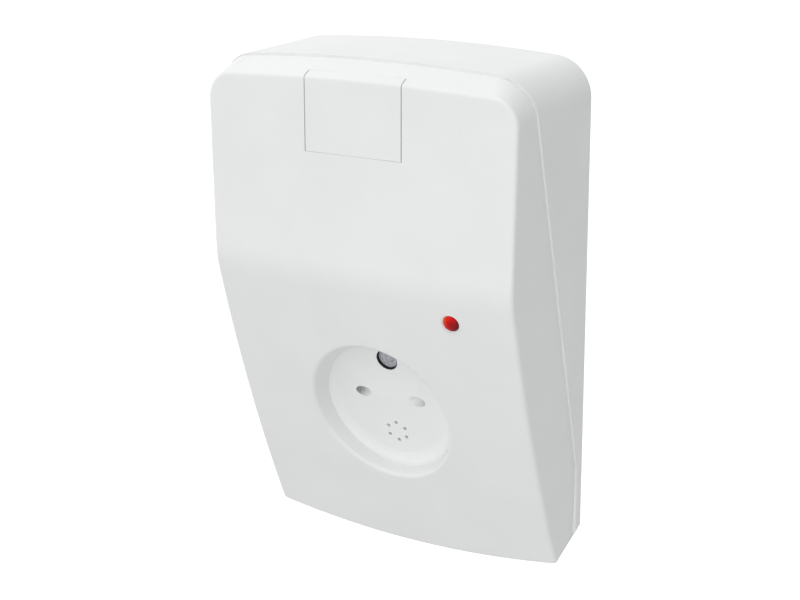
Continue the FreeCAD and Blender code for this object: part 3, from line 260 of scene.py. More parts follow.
# The lamp's lens is moulded in clear red plastic, with a polished dome. Its colour carries painted shade,
# darker on the near side, and a painted orange highlight on the far one. It is pressed into the cover from
# behind, and its stem reaches down towards the red light-emitting diode on the board.
LENS_MIDDLE = (0.0211, -0.031338, 0.005688)
LENS_PAINTED_SHADE = (0.12, 0.016, 0.014)
LENS_RED = (0.66, 0.007, 0.009)
LENS_PAINTED_HIGHLIGHT = (0.76, 0.09, 0.035)
LENS_PAINTED_LIGHT_SLOPE = (-230.0, 0.0, 90.0)
LENS_PAINTED_SHADE_END, LENS_RED_START, LENS_PAINTED_HIGHLIGHT_START = 0.05, 0.58, 0.92
LENS_CLOUD, LENS_CLOUD_RANGE = 700.0, (0.42, 0.58)
LENS_ROUGHNESS, LENS_ROUGHNESS_CLOUD = (0.05, 0.11), 1500.0
LENS_IOR = 1.49
LENS_SPECULAR = 0.05

clear_red, tree, shader = start_finish("clear_red")
place = object_place(tree)
# The lens's colour is painted light: a slope across it, darker to the lower right as painted shade and orange
# to the upper left as a painted highlight, with a faint cloud.
across_lens = tree.nodes.new("ShaderNodeVectorMath")
across_lens.operation = "SUBTRACT"
across_lens.inputs[1].default_value = LENS_MIDDLE
tree.links.new(place, across_lens.inputs[0])
painted_light_slope = tree.nodes.new("ShaderNodeVectorMath")
painted_light_slope.operation = "DOT_PRODUCT"
painted_light_slope.inputs[1].default_value = LENS_PAINTED_LIGHT_SLOPE
tree.links.new(across_lens.outputs["Vector"], painted_light_slope.inputs[0])
painted_light_and_cloud = tree.nodes.new("ShaderNodeMath")
painted_light_and_cloud.operation = "ADD"
tree.links.new(painted_light_slope.outputs["Value"], painted_light_and_cloud.inputs[0])
tree.links.new(between_numbers(tree, noise_node(tree, place, LENS_CLOUD, detail=1.0), *LENS_CLOUD_RANGE),
               painted_light_and_cloud.inputs[1])
lens_red_and_painted_light = between_colours(tree, painted_light_and_cloud.outputs["Value"], LENS_PAINTED_SHADE, LENS_RED,
                              start=LENS_PAINTED_SHADE_END, end=LENS_RED_START)
lens_red_and_painted_light.node.color_ramp.elements.new(LENS_PAINTED_HIGHLIGHT_START).color = (*LENS_PAINTED_HIGHLIGHT, 1.0)
tree.links.new(lens_red_and_painted_light, shader.inputs["Base Color"])
tree.links.new(between_numbers(tree, noise_node(tree, place, LENS_ROUGHNESS_CLOUD), *LENS_ROUGHNESS),
               shader.inputs["Roughness"])
shader.inputs["IOR"].default_value = LENS_IOR
shader.inputs["Specular IOR Level"].default_value = LENS_SPECULAR
# The light-emitting diode takes the same finish, with its painted shade and painted highlight.
dress(clear_red, "lamp_lens", "indicator_led")

LENS_SPOT = (0.0211, 0.0264)
LENS_RADIUS = 0.00176
LENS_STEM, LENS_STEM_LOW = 0.0015, 0.0057
FLANGE_HIGH = 0.00725
FACE_HEIGHT = 0.01048
DOME_FOOT = FACE_HEIGHT - 0.0001
DOME_RISE = 0.00085

# The pieces behind the cover's face are drawn in the board's frame, which leans with the face: X runs
# across, Y up along the board and Z out of its front.
BOARD_PLACE = (0.0, -0.013403, -0.016332)
BOARD_TURN = math.radians(90 + BOARD_LEAN)
board_frame = Matrix.Translation(BOARD_PLACE) @ Matrix.Rotation(BOARD_TURN, 4, "X")


def finished_piece(name, shape, finishes, body, replaces=()):
    """Link a bmesh drawn in the board's frame as a piece that rides on a body."""
    bmesh.ops.transform(shape, matrix=board_frame, verts=shape.verts)
    mesh = bpy.data.meshes.new(name)
    shape.to_mesh(mesh)
    shape.free()
    piece = bpy.data.objects.new(name, mesh)
    scene.collection.objects.link(piece)
    for finish in finishes:
        mesh.materials.append(finish)
    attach(piece, body)
    if replaces:
        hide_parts(*replaces)
    return piece


def lathed(shape, outline, centre, steps=64):
    """Turn an outline of (radius, height) points about the board's normal at a place on the board."""
    corners = [shape.verts.new((centre[0] + radius, centre[1], height)) for radius, height in outline]
    edges = [shape.edges.new(pair) for pair in zip(corners, corners[1:])]
    bmesh.ops.spin(shape, geom=corners + edges, cent=(*centre, 0), axis=(0, 0, 1), angle=math.tau,
                   steps=steps, use_merge=True, use_duplicate=False)
    bmesh.ops.remove_doubles(shape, verts=shape.verts, dist=TOUCHING)
    bmesh.ops.recalc_face_normals(shape, faces=shape.faces)


def smoothed(piece, crease=35.0):
    """Shade smooth, with creases sharper than an angle kept."""
    for face in piece.data.polygons:
        face.use_smooth = True
    piece.data.set_sharp_from_angle(angle=math.radians(crease))


shape = bmesh.new()
dome = [(LENS_RADIUS * math.cos(math.radians(turn)), DOME_FOOT + DOME_RISE * math.sin(math.radians(turn)))
        for turn in range(0, 90, 6)]
lathed(shape, [(0, LENS_STEM_LOW), (LENS_STEM, LENS_STEM_LOW), (LENS_STEM, FLANGE_HIGH),
               (LENS_RADIUS, FLANGE_HIGH)] + dome + [(0, DOME_FOOT + DOME_RISE)], LENS_SPOT)
smoothed(finished_piece("lamp_dome", shape, [clear_red], "cover", ["lamp_lens"]), crease=40)

# The wall of the lamp's hole is part of the cover's white moulding. It closes up to the lens, and its
# edge is broken a little.
HOLE_RADIUS = 0.00217
HOLE_INSIDE = LENS_RADIUS + 0.00002
WALL_BACK = 0.0086
EDGE_IN, EDGE_DOWN = 0.0001, 0.00008

shape = bmesh.new()
lathed(shape, [(HOLE_INSIDE, WALL_BACK), (HOLE_RADIUS, WALL_BACK), (HOLE_RADIUS, FACE_HEIGHT),
               (LENS_RADIUS + EDGE_IN, FACE_HEIGHT), (HOLE_INSIDE, FACE_HEIGHT - EDGE_DOWN),
               (HOLE_INSIDE, WALL_BACK)], LENS_SPOT)
smoothed(finished_piece("lamp_hole_wall", shape, [white_plastic], "cover"), crease=30)

# The acoustic dish is one moulding, screwed behind the cover's opening: a flat floor in a round cove, a
# shallow horn with the microphone's mouth, a ring of six fine holes and two slanted blind ports. It is
# coloured a shade whiter than the housing, painted light that makes up for the shade inside the recess.
DISH_PALE_PAINTED_LIGHT = (0.918, 0.923, 0.920)
DISH_SHADED_PAINTED_LIGHT = (0.898, 0.903, 0.900)
DISH_BACK, DISH_FLOOR = 0.0044, 0.0062
BOSS_BACK, LAND_HEIGHT = 0.0037, 0.00489
MOUTH_ALONG, MOUTH_RADIUS = 0.00935, 0.0025
LAND_ALONG, LAND_RADIUS = 0.0092, 0.0034
RING_ALONG, RING_RADIUS, RING_LAND = -0.0087, 0.00235, 0.0032
RING_HOLE, RING_HOLES, RING_FIRST = 0.00044, 6, 30
PORT_SIDE, PORT_ALONG = 0.0066, 0.0007
PORT_RADIUS, PORT_SLANT, PORT_LONG = 0.00125, 50.0, 0.0050
PORT_BOSS, PORT_BOSS_SIDE, PORT_BOSS_BACK = 0.0030, 0.0096, 0.0024
BOSS_INTO_BACK = 0.0003
CUT_BEYOND = 0.001
HAIR = 0.000001


def drum(radius, low, high, centre, steps=64, slant=0.0):
    """A closed cylinder to join to the dish or to cut it, between two heights above the board. A slanted
    one leans sideways, and its heights are measured along it from the dish's floor."""
    shape = bmesh.new()
    bmesh.ops.create_cone(shape, cap_ends=True, segments=steps, radius1=radius, radius2=radius,
                          depth=high - low)
    bmesh.ops.translate(shape, verts=shape.verts, vec=(0, 0, (low + high) / 2))
    if slant:
        bmesh.ops.rotate(shape, verts=shape.verts, matrix=Matrix.Rotation(math.radians(slant), 3, "Y"))
        bmesh.ops.translate(shape, verts=shape.verts, vec=(0, 0, DISH_FLOOR))
    bmesh.ops.translate(shape, verts=shape.verts, vec=(*centre, 0))
    bmesh.ops.transform(shape, matrix=board_frame, verts=shape.verts)
    mesh = bpy.data.meshes.new("drum")
    shape.to_mesh(mesh)
    shape.free()
    item = bpy.data.objects.new("drum", mesh)
    scene.collection.objects.link(item)
    return item


shape = bmesh.new()
shape.from_mesh(nodes["acoustic_dish"].data)
bmesh.ops.remove_doubles(shape, verts=shape.verts, dist=TOUCHING)
dish_mesh = bpy.data.meshes.new("dish_moulding")
shape.to_mesh(dish_mesh)
shape.free()
dish = bpy.data.objects.new("dish_moulding", dish_mesh)
scene.collection.objects.link(dish)

dish_steps = []
for side in (-1, 1):
    dish_steps += [
        ("UNION", drum(PORT_BOSS, PORT_BOSS_BACK, DISH_BACK + BOSS_INTO_BACK,
                       (side * PORT_BOSS_SIDE, PORT_ALONG))),
        ("DIFFERENCE", drum(PORT_RADIUS + HAIR, -PORT_LONG, CUT_BEYOND, (side * PORT_SIDE, PORT_ALONG),
                            steps=48, slant=-side * PORT_SLANT))]
dish_steps += [
    ("UNION", drum(RING_LAND, DISH_BACK + HAIR, DISH_FLOOR - HAIR, (0, RING_ALONG))),
    ("UNION", drum(LAND_RADIUS, BOSS_BACK + HAIR, LAND_HEIGHT, (0, LAND_ALONG))),
    ("DIFFERENCE", drum(MOUTH_RADIUS, BOSS_BACK - CUT_BEYOND, DISH_FLOOR + CUT_BEYOND, (0, MOUTH_ALONG)))]
for number in range(RING_HOLES):
    turn = math.radians(RING_FIRST + number * 360 / RING_HOLES)
    hole = (RING_RADIUS * math.cos(turn), RING_RADIUS * math.sin(turn) + RING_ALONG)
    drill = drum(RING_HOLE, DISH_BACK - CUT_BEYOND, DISH_FLOOR + CUT_BEYOND, hole, steps=32)
    dish_steps.append(("DIFFERENCE", drill))
for operation, tool in dish_steps:
    change = dish.modifiers.new(operation.lower(), "BOOLEAN")
    change.operation = operation
    change.object = tool
    change.solver = "EXACT"
    finished = bpy.data.meshes.new_from_object(dish.evaluated_get(bpy.context.evaluated_depsgraph_get()))
    dish.modifiers.remove(change)
    dish.data = finished
    bpy.data.objects.remove(tool)
# The dish's white is painted lighter than the housing's, to stand in for light inside its recess.
dish_plastic_painted_light = moulded("dish_plastic_painted_light", DISH_PALE_PAINTED_LIGHT, DISH_SHADED_PAINTED_LIGHT, HOUSING_ROUGHNESS, HOUSING_GRAIN,
                       HOUSING_GRAIN_DEPTH)
dish.data.materials.clear()
dish.data.materials.append(dish_plastic_painted_light)

# The dish's flat floor is shaded flat, and the faint crease where the horn starts stays sharp, as the
# mould leaves them.
DISH_FLOOR_FACING = 0.99995
DISH_FLOOR_CREASE, DISH_CREASE = 6, 30

floor_normal = board_frame.to_3x3() @ Vector((0, 0, 1))
shape = bmesh.new()
shape.from_mesh(dish.data)
bmesh.ops.recalc_face_normals(shape, faces=shape.faces)
for face in shape.faces:
    face.smooth = abs(face.normal.dot(floor_normal)) < DISH_FLOOR_FACING
for edge in shape.edges:
    bend = math.degrees(edge.calc_face_angle(math.pi))
    meets_floor = any(not face.smooth for face in edge.link_faces)
    edge.smooth = bend < (DISH_FLOOR_CREASE if meets_floor else DISH_CREASE)
shape.to_mesh(dish.data)
shape.free()
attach(dish, "cover")
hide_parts("acoustic_dish")

# The felt over the microphone is a punched disc of pressed grey wool, mottled and a little hairy. It
# lies in the boot's neck.
FELT_DARK, FELT_PALE = (0.21, 0.222, 0.238), (0.73, 0.76, 0.80)
FELT_SPECKLE, FELT_FIBRE = 3000.0, 5200.0
FELT_FIBRE_DEPTH = 0.0001
FELT_ROUGHNESS, FELT_SHEEN = 0.95, 0.2
FELT_RADIUS = 0.00234
FELT_LOW, FELT_HIGH = 0.0028, 0.0043
FELT_EDGE = 0.0003
FELT_RINGS = 16
FELT_LUMPS, FELT_LUMP_HEIGHT = 2400, 0.00008
TUFTS_FINER, TUFT_HEIGHT = 3, 0.00004

grey_felt, tree, shader = start_finish("grey_felt")
place = object_place(tree)
speckle = noise_node(tree, place, FELT_SPECKLE, detail=6.0, roughness=0.75)
tree.links.new(between_colours(tree, speckle, FELT_DARK, FELT_PALE, start=0.36, end=0.64),
               shader.inputs["Base Color"])
shader.inputs["Roughness"].default_value = FELT_ROUGHNESS
shader.inputs["Sheen Weight"].default_value = FELT_SHEEN
roughened(tree, shader, noise_node(tree, place, FELT_FIBRE, detail=4.0, roughness=0.7), FELT_FIBRE_DEPTH,
          strength=0.8)
dress(grey_felt, "microphone_felt")

shape = bmesh.new()
lathed(shape, [(0, FELT_LOW), (FELT_RADIUS, FELT_LOW), (FELT_RADIUS, FELT_HIGH - FELT_EDGE)]
       + [(FELT_RADIUS * (1 - step / FELT_RINGS), FELT_HIGH) for step in range(1, FELT_RINGS + 1)],
       (0, MOUTH_ALONG), steps=72)
for corner in shape.verts:
    if corner.co.z > FELT_HIGH - FELT_EDGE / 2:
        spot = corner.co * FELT_LUMPS
        corner.co.z += FELT_LUMP_HEIGHT * noise.noise(spot) + TUFT_HEIGHT * noise.noise(TUFTS_FINER * spot)
smoothed(finished_piece("felt_disc", shape, [grey_felt], "root", ["microphone_felt"]), crease=80)

# The microphone's boot is moulded in soft black rubber. It holds the capsule on the board and seals it
# against the dish, with a thin neck in the dish's mouth.
RUBBER_PALE, RUBBER_DARK = (0.020, 0.020, 0.021), (0.012, 0.012, 0.012)
BOOT_INSIDE, BOOT_OUTSIDE = 0.00332, 0.00395
BOOT_SHOULDER, SHOULDER_EDGE = 0.0034, 0.0003
NECK_INSIDE, NECK_OUTSIDE = 0.00235, 0.00245
NECK_FOOT, NECK_RIM = 0.0002, 0.00486
CAPSULE_TOP = 0.0028
CAPSULE_GAP = 0.00001

black_rubber = moulded("black_rubber", RUBBER_PALE, RUBBER_DARK, roughness=(0.62, 0.8), grain=3800.0,
                       depth=0.00002)
dress(black_rubber, "microphone_boot")

shape = bmesh.new()
lathed(shape, [(BOOT_INSIDE, 0), (BOOT_OUTSIDE, 0), (BOOT_OUTSIDE, BOOT_SHOULDER - SHOULDER_EDGE),
               (BOOT_OUTSIDE - SHOULDER_EDGE, BOOT_SHOULDER), (NECK_OUTSIDE + NECK_FOOT, BOOT_SHOULDER),
               (NECK_OUTSIDE, BOOT_SHOULDER + NECK_FOOT), (NECK_OUTSIDE, NECK_RIM), (NECK_INSIDE, NECK_RIM),
               (NECK_INSIDE, CAPSULE_TOP + CAPSULE_GAP), (BOOT_INSIDE, CAPSULE_TOP + CAPSULE_GAP),
               (BOOT_INSIDE, 0)], (0, MOUTH_ALONG))
smoothed(finished_piece("rubber_boot", shape, [black_rubber], "root", ["microphone_boot"]))

# The microphone's capsule, the capacitors and the crystal have drawn aluminium cans, soldered to the
# board by their leads. The screws are steel, headed cold and plated with zinc.
CAN_BRIGHT, CAN_DULL = (0.80, 0.80, 0.79), (0.62, 0.62, 0.61)
ZINC_BRIGHT, ZINC_DULL = (0.72, 0.72, 0.70), (0.50, 0.50, 0.49)
LINE_SCALE, LINE_DEPTH = 4.0, 0.000008


def board_place(tree):
    """Object coordinates turned into the board's frame."""
    turned = tree.nodes.new("ShaderNodeMapping")
    turned.vector_type = "TEXTURE"
    turned.inputs["Location"].default_value = BOARD_PLACE
    turned.inputs["Rotation"].default_value = (BOARD_TURN, 0, 0)
    tree.links.new(object_place(tree), turned.inputs["Vector"])
    return turned.outputs["Vector"]


def drawn_metal(name, bright, dull, roughness, stretch):
    """Metal with fine drawing lines and a few dull places."""
    finish, tree, shader = start_finish(name)
    stretched = tree.nodes.new("ShaderNodeMapping")
    stretched.inputs["Scale"].default_value = stretch
    tree.links.new(board_place(tree), stretched.inputs["Vector"])
    lines = noise_node(tree, stretched.outputs["Vector"], LINE_SCALE, detail=4.0)
    tree.links.new(between_colours(tree, lines, dull, bright), shader.inputs["Base Color"])
    tree.links.new(between_numbers(tree, lines, *roughness), shader.inputs["Roughness"])
    shader.inputs["Metallic"].default_value = 1.0
    roughened(tree, shader, lines, LINE_DEPTH, strength=0.5)
    return finish


drawn_can = drawn_metal("drawn_can", CAN_BRIGHT, CAN_DULL, roughness=(0.22, 0.38),
                        stretch=(900.0, 900.0, 90.0))
zinc_steel = drawn_metal("zinc_steel", ZINC_BRIGHT, ZINC_DULL, roughness=(0.28, 0.45),
                         stretch=(500.0, 500.0, 500.0))
dress(drawn_can, "microphone_capsule", "filter_capacitors", "clock_crystal")
dress(zinc_steel, "dish_screws", "board_screws", "terminal_screws")

# The circuit board is glass laminate under a green solder mask, screwed to the base's posts. The
# copper tracks show through the mask a little lighter, straight in one place and across in the next.
MASK_GREEN, MASK_OVER_COPPER = (0.018, 0.115, 0.045), (0.045, 0.21, 0.085)
TRACK_FIELDS, TRACK_BANDS, TRACK_LIMIT = 150.0, 250.0, 0.72
TURNED_SHARE, BARE_SHARE = 0.5, 0.4
TRACK_HEIGHT = 0.00003
MASK_CLOUD, MASK_ROUGHNESS = 240.0, (0.22, 0.34)


def picked(tree, amount, limit):
    """One where an amount is above a limit, and nothing elsewhere."""
    chosen = tree.nodes.new("ShaderNodeMath")
    chosen.operation = "GREATER_THAN"
    chosen.inputs[1].default_value = limit
    tree.links.new(amount, chosen.inputs[0])
    return chosen.outputs["Value"]


def track_bands(tree, place, direction):
    """Straight copper tracks, side by side."""
    bands = tree.nodes.new("ShaderNodeTexWave")
    bands.bands_direction = direction
    bands.inputs["Scale"].default_value = TRACK_BANDS
    tree.links.new(place, bands.inputs["Vector"])
    return picked(tree, bands.outputs["Fac"], TRACK_LIMIT)


solder_mask, tree, shader = start_finish("solder_mask")
place = board_place(tree)
fields = tree.nodes.new("ShaderNodeTexVoronoi")
fields.distance = "CHEBYCHEV"
fields.inputs["Scale"].default_value = TRACK_FIELDS
tree.links.new(place, fields.inputs["Vector"])
choice = tree.nodes.new("ShaderNodeSeparateColor")
tree.links.new(fields.outputs["Color"], choice.inputs["Color"])
turned_tracks = tree.nodes.new("ShaderNodeMix")
tree.links.new(picked(tree, choice.outputs["Red"], TURNED_SHARE), turned_tracks.inputs["Factor"])
tree.links.new(track_bands(tree, place, "X"), turned_tracks.inputs["A"])
tree.links.new(track_bands(tree, place, "Y"), turned_tracks.inputs["B"])
copper = tree.nodes.new("ShaderNodeMath")
copper.operation = "MULTIPLY"
tree.links.new(turned_tracks.outputs["Result"], copper.inputs[0])
tree.links.new(picked(tree, choice.outputs["Green"], BARE_SHARE), copper.inputs[1])
tree.links.new(between_colours(tree, copper.outputs["Value"], MASK_GREEN, MASK_OVER_COPPER,
                               start=0.2, end=0.8), shader.inputs["Base Color"])
tree.links.new(between_numbers(tree, noise_node(tree, place, MASK_CLOUD), *MASK_ROUGHNESS),
               shader.inputs["Roughness"])
roughened(tree, shader, copper.outputs["Value"], TRACK_HEIGHT, strength=0.8)
dress(solder_mask, "circuit_board")

# Tinned rings and test points stand on the board's front, thin and round, where leads and wires pass.
# They are copper, dipped in solder.
TIN_BRIGHT, TIN_DULL = (0.78, 0.77, 0.74), (0.55, 0.54, 0.52)
TIN_BORE, TIN_OUTSIDE, TIN_TOP = 0.00028, 0.00062, 0.00055
TIN_THICK, TIN_ABOVE_MASK = 0.00006, 0.00001
TIN_EDGE = 0.7 * TIN_THICK
LOWER_POINTS = (-0.0215, -0.0190, 0.0190, 0.0215), (-0.0163,)
SIDE_POINTS = (-0.0195, 0.0195), (-0.0105, -0.0065, 0.0035, 0.0075, 0.0115)
UPPER_POINTS = (-0.0115, -0.0065, -0.0015, 0.0035, 0.0085, 0.0135), (0.0205,)

tin = drawn_metal("tin", TIN_BRIGHT, TIN_DULL, roughness=(0.25, 0.4), stretch=(700.0, 700.0, 700.0))

shape = bmesh.new()
for across, along in (LOWER_POINTS, SIDE_POINTS, UPPER_POINTS):
    for point in [(x, y) for x in across for y in along]:
        lathed(shape, [(TIN_BORE, 0), (TIN_OUTSIDE, 0), (TIN_OUTSIDE, TIN_EDGE), (TIN_TOP, TIN_THICK),
                       (TIN_BORE, TIN_THICK), (TIN_BORE, 0)], point, steps=20)
bmesh.ops.translate(shape, verts=shape.verts, vec=(0, 0, TIN_ABOVE_MASK))
smoothed(finished_piece("board_test_points", shape, [tin], "root"), crease=40)

# Dark moulded pieces on the board: the sounder behind the ring of holes and the tamper switch, which
# are soldered by their leads, and the jumper caps, which push onto the header's pins.
DARK_PALE, DARK_DEEP = (0.030, 0.030, 0.031), (0.019, 0.019, 0.020)

dark_plastic = moulded("dark_plastic", DARK_PALE, DARK_DEEP, roughness=(0.42, 0.55), grain=3000.0,
                       depth=0.00002)
dress(dark_plastic, "sounder", "tamper_switch", "jumper_caps")

# The jumper header and the signal processor are black mouldings with plated metal: the header's pins
# stand out of it, and the processor's leads reach out on its four sides.
HEADER_BLACK, PIN_GOLD = (0.024, 0.024, 0.025), (0.72, 0.66, 0.50)
HEADER_TOP = 0.00152
PROCESSOR_BLACK, LEAD_TIN = (0.022, 0.022, 0.024), (0.70, 0.70, 0.68)
PROCESSOR_PLACE, PROCESSOR_HALF = (0.0032, 0.0274, 0.0), 0.00352
MIXED_CLOUD, MIXED_ROUGHNESS = 900.0, (0.3, 0.45)
MIXED_GRAIN, MIXED_GRAIN_DEPTH = 3400.0, 0.000015


def two_finish(name, dark, bright, limit, centre=None):
    """Plastic with metal beyond a limit: out of the board or, round a centre, along it."""
    finish, tree, shader = start_finish(name)
    place = board_place(tree)
    apart = tree.nodes.new("ShaderNodeSeparateXYZ")
    if centre is None:
        tree.links.new(place, apart.inputs["Vector"])
        beyond = picked(tree, apart.outputs["Z"], limit)
    else:
        from_centre = tree.nodes.new("ShaderNodeVectorMath")
        from_centre.operation = "SUBTRACT"
        from_centre.inputs[1].default_value = centre
        tree.links.new(place, from_centre.inputs[0])
        either_way = tree.nodes.new("ShaderNodeVectorMath")
        either_way.operation = "ABSOLUTE"
        tree.links.new(from_centre.outputs["Vector"], either_way.inputs[0])
        tree.links.new(either_way.outputs["Vector"], apart.inputs["Vector"])
        larger = tree.nodes.new("ShaderNodeMath")
        larger.operation = "MAXIMUM"
        tree.links.new(apart.outputs["X"], larger.inputs[0])
        tree.links.new(apart.outputs["Y"], larger.inputs[1])
        beyond = picked(tree, larger.outputs["Value"], limit)
    tree.links.new(between_colours(tree, beyond, dark, bright, start=0.4, end=0.6),
                   shader.inputs["Base Color"])
    tree.links.new(beyond, shader.inputs["Metallic"])
    tree.links.new(between_numbers(tree, noise_node(tree, place, MIXED_CLOUD), *MIXED_ROUGHNESS),
                   shader.inputs["Roughness"])
    roughened(tree, shader, noise_node(tree, place, MIXED_GRAIN), MIXED_GRAIN_DEPTH)
    return finish


dress(two_finish("header_and_pins", HEADER_BLACK, PIN_GOLD, HEADER_TOP), "jumper_header")
dress(two_finish("processor_and_leads", PROCESSOR_BLACK, LEAD_TIN, PROCESSOR_HALF, PROCESSOR_PLACE),
      "signal_processor")

# The terminal block and the relay are opaque mouldings, blue-green and off-white, soldered to the
# board. The trimmer's case is blue, and its rotor and the tamper plunger are a pale nylon.
BLOCK_PALE, BLOCK_DARK = (0.045, 0.24, 0.32), (0.032, 0.18, 0.25)
RELAY_PALE, RELAY_DARK = (0.76, 0.74, 0.68), (0.70, 0.68, 0.62)
TRIMMER_PALE, TRIMMER_DARK = (0.045, 0.13, 0.46), (0.03, 0.09, 0.35)
NYLON_PALE, NYLON_DARK = (0.82, 0.80, 0.74), (0.75, 0.73, 0.66)

terminal_blue_green = moulded("terminal_blue_green", BLOCK_PALE, BLOCK_DARK, roughness=(0.34, 0.46),
                              grain=2600.0, depth=0.000025)
relay_cream = moulded("relay_cream", RELAY_PALE, RELAY_DARK, roughness=(0.35, 0.5), grain=3200.0,
                      depth=0.00002)
trimmer_blue = moulded("trimmer_blue", TRIMMER_PALE, TRIMMER_DARK, roughness=(0.35, 0.5), grain=3000.0,
                       depth=0.00002)
pale_nylon = moulded("pale_nylon", NYLON_PALE, NYLON_DARK, roughness=(0.4, 0.55), grain=3600.0,
                     depth=0.000015)
dress(terminal_blue_green, "terminal_block")
dress(relay_cream, "alarm_relay")
dress(trimmer_blue, "sensitivity_trimmer")
dress(pale_nylon, "trimmer_rotor", "tamper_plunger")

# The small chips are fired ceramic blocks. Each has a tinned cap on either end, a little larger than
# the block, which is soldered to the board.
CERAMIC_PALE, CERAMIC_DARK = (0.36, 0.26, 0.17), (0.27, 0.19, 0.12)
CERAMIC_CLOUD = 300.0
CHIP_END = 0.00042
CERAMIC_INSET = 0.00003
CERAMIC, TINNED = 0, 1

chip_ceramic = moulded("chip_ceramic", CERAMIC_PALE, CERAMIC_DARK, roughness=(0.45, 0.6), grain=5200.0,
                       depth=0.00002, cloud_scale=CERAMIC_CLOUD)
dress(chip_ceramic, "chip_components")


def separate_solids(shape):
    """The bounds, in the board's frame, of each closed solid in a mesh."""
    left = set(shape.verts)
    while left:
        group = [left.pop()]
        for corner in group:
            near = {edge.other_vert(corner) for edge in corner.link_edges} & left
            left -= near
            group += near
        places = [board_frame.inverted() @ corner.co for corner in group]
        yield [(min(place[way] for place in places), max(place[way] for place in places)) for way in range(3)]


chips = bmesh.new()
chips.from_mesh(nodes["chip_components"].data)
bmesh.ops.remove_doubles(chips, verts=chips.verts, dist=TOUCHING)
shape = bmesh.new()
for chip in sorted(separate_solids(chips)):
    long_way = 0 if chip[0][1] - chip[0][0] > chip[1][1] - chip[1][0] else 1
    low, high = chip[long_way]
    for finish_number, start, end in ((TINNED, low, low + CHIP_END),
                                      (CERAMIC, low + CHIP_END, high - CHIP_END),
                                      (TINNED, high - CHIP_END, high)):
        block = list(chip)
        block[long_way] = (start, end)
        inset = CERAMIC_INSET if finish_number == CERAMIC else 0.0
        sizes = [far - near - (2 * inset if way != long_way else 0) for way, (near, far) in enumerate(block)]
        corners = bmesh.ops.create_cube(shape, size=1.0)["verts"]
        bmesh.ops.scale(shape, vec=sizes, verts=corners)
        bmesh.ops.translate(shape, vec=[sum(pair) / 2 for pair in block], verts=corners)
        for face in {face for corner in corners for face in corner.link_faces}:
            face.material_index = finish_number
chips.free()
finished_piece("small_chips", shape, [chip_ceramic, tin], "root", ["chip_components"])

# The floor is a plain pale sheet, well below the sensor. Seen directly it is white, but it throws back
# light as a middle grey does, so that it doesn't light the sensor from below.
FLOOR_HEIGHT = -0.3
FLOOR_HALF = 6.0
FLOOR_DULL, FLOOR_WHITE = (0.50, 0.50, 0.50, 1.0), (1.0, 1.0, 1.0, 1.0)
FLOOR_GLOW = 0.3


def seen_directly(tree):
    """One for camera, mirrored and refracted rays, which meet the plain white."""
    rays = tree.nodes.new("ShaderNodeLightPath")
    first = tree.nodes.new("ShaderNodeMath")
    first.operation = "MAXIMUM"
    tree.links.new(rays.outputs["Is Camera Ray"], first.inputs[0])
    tree.links.new(rays.outputs["Is Glossy Ray"], first.inputs[1])
    both = tree.nodes.new("ShaderNodeMath")
    both.operation = "MAXIMUM"
    tree.links.new(first.outputs["Value"], both.inputs[0])
    tree.links.new(rays.outputs["Is Transmission Ray"], both.inputs[1])
    return both.outputs["Value"]


def one_or_other(tree, unseen, seen, end):
    """Join what lights the object and what the eye meets, and lead it to the tree's end."""
    mix = tree.nodes.new("ShaderNodeMixShader")
    tree.links.new(seen_directly(tree), mix.inputs["Fac"])
    tree.links.new(unseen, mix.inputs[1])
    tree.links.new(seen, mix.inputs[2])
    tree.links.new(mix.outputs["Shader"], tree.nodes[end].inputs["Surface"])


floor_white = bpy.data.materials.new("floor_white")
floor_white.use_nodes = True
tree = floor_white.node_tree
tree.nodes.remove(tree.nodes["Principled BSDF"])
dull = tree.nodes.new("ShaderNodeBsdfDiffuse")
dull.inputs["Color"].default_value = FLOOR_DULL
plain = tree.nodes.new("ShaderNodeBsdfDiffuse")
plain.inputs["Color"].default_value = FLOOR_WHITE
glow = tree.nodes.new("ShaderNodeEmission")
glow.inputs["Strength"].default_value = FLOOR_GLOW
bright = tree.nodes.new("ShaderNodeAddShader")
tree.links.new(plain.outputs["BSDF"], bright.inputs[0])
tree.links.new(glow.outputs["Emission"], bright.inputs[1])
one_or_other(tree, dull.outputs["BSDF"], bright.outputs["Shader"], "Material Output")

shape = bmesh.new()
bmesh.ops.create_grid(shape, x_segments=8, y_segments=8, size=FLOOR_HALF)
bmesh.ops.translate(shape, verts=shape.verts, vec=(0, 0, FLOOR_HEIGHT))
floor_mesh = bpy.data.meshes.new("floor")
shape.to_mesh(floor_mesh)
shape.free()
floor_mesh.materials.append(floor_white)
floor = bpy.data.objects.new("floor", floor_mesh)
scene.collection.objects.link(floor)

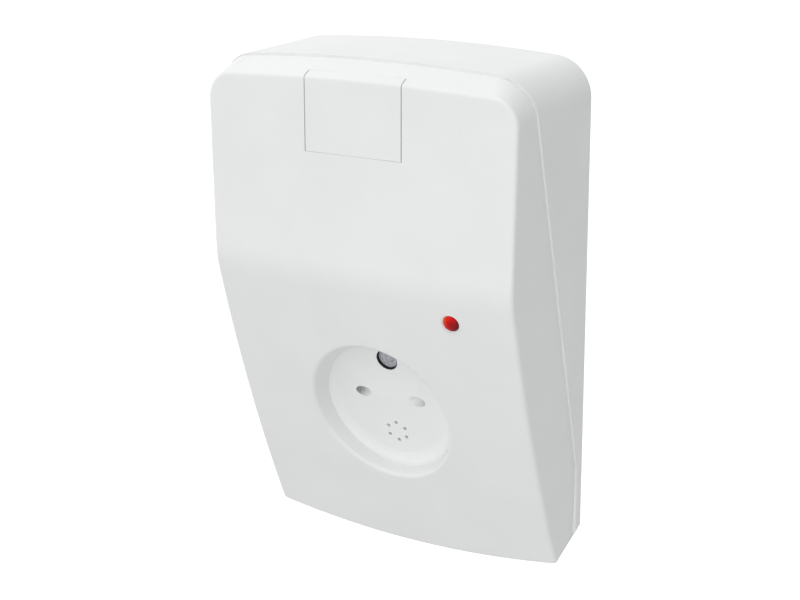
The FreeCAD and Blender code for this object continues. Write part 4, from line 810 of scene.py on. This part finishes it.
# The surround is a soft white light from all sides, brighter from the left, and dimmer and a little
# cooler from the right. Seen directly it is plain white.
SURROUND = 0.80
SURROUND_SLOPE = (-0.40, -0.10, 0.04)
SURROUND_WHITE, SURROUND_COOL = (1.0, 1.0, 1.0), (0.925, 0.998, 1.0)
COOL_FROM, COOL_TO = 0.15, 0.95

world = bpy.data.worlds.new("studio")
scene.world = world
world.use_nodes = True
tree = world.node_tree
background = tree.nodes["Background"]
way_out = tree.nodes.new("ShaderNodeTexCoord").outputs["Generated"]
sideways = tree.nodes.new("ShaderNodeSeparateXYZ")
tree.links.new(way_out, sideways.inputs["Vector"])
tree.links.new(between_colours(tree, sideways.outputs["X"], SURROUND_WHITE, SURROUND_COOL,
                               start=COOL_FROM, end=COOL_TO), background.inputs["Color"])
slope = tree.nodes.new("ShaderNodeVectorMath")
slope.operation = "DOT_PRODUCT"
slope.inputs[1].default_value = SURROUND_SLOPE
tree.links.new(way_out, slope.inputs[0])
level = tree.nodes.new("ShaderNodeMath")
level.operation = "ADD"
level.inputs[1].default_value = SURROUND
tree.links.new(slope.outputs["Value"], level.inputs[0])
above_nothing = tree.nodes.new("ShaderNodeMath")
above_nothing.operation = "MAXIMUM"
above_nothing.inputs[1].default_value = 0.0
tree.links.new(level.outputs["Value"], above_nothing.inputs[0])
tree.links.new(above_nothing.outputs["Value"], background.inputs["Strength"])
seen = tree.nodes.new("ShaderNodeBackground")
seen.inputs["Color"].default_value = (*SURROUND_WHITE, 1.0)
seen.inputs["Strength"].default_value = 1.0
one_or_other(tree, background.outputs["Background"], seen.outputs["Background"], "World Output")

# Two soft lamps: a large one high up in front, and a small weak one near the sensor, in front of it
# and a little to the right.


def soft_lamp(name, place, width, power):
    light = bpy.data.lights.new(name, "AREA")
    light.shape = "DISK"
    light.size = width
    light.energy = power
    lamp = bpy.data.objects.new(name, light)
    scene.collection.objects.link(lamp)
    lamp.location = place
    lamp.rotation_mode = "QUATERNION"
    lamp.rotation_quaternion = (-lamp.location).to_track_quat("-Z", "Y")


soft_lamp("key_lamp", place=(0.10, -0.60, 1.57), width=0.8, power=4.5)
soft_lamp("fill_lamp", place=(0.15, -0.41, -0.02), width=0.3, power=0.32)

scene.view_settings.view_transform = "Standard"
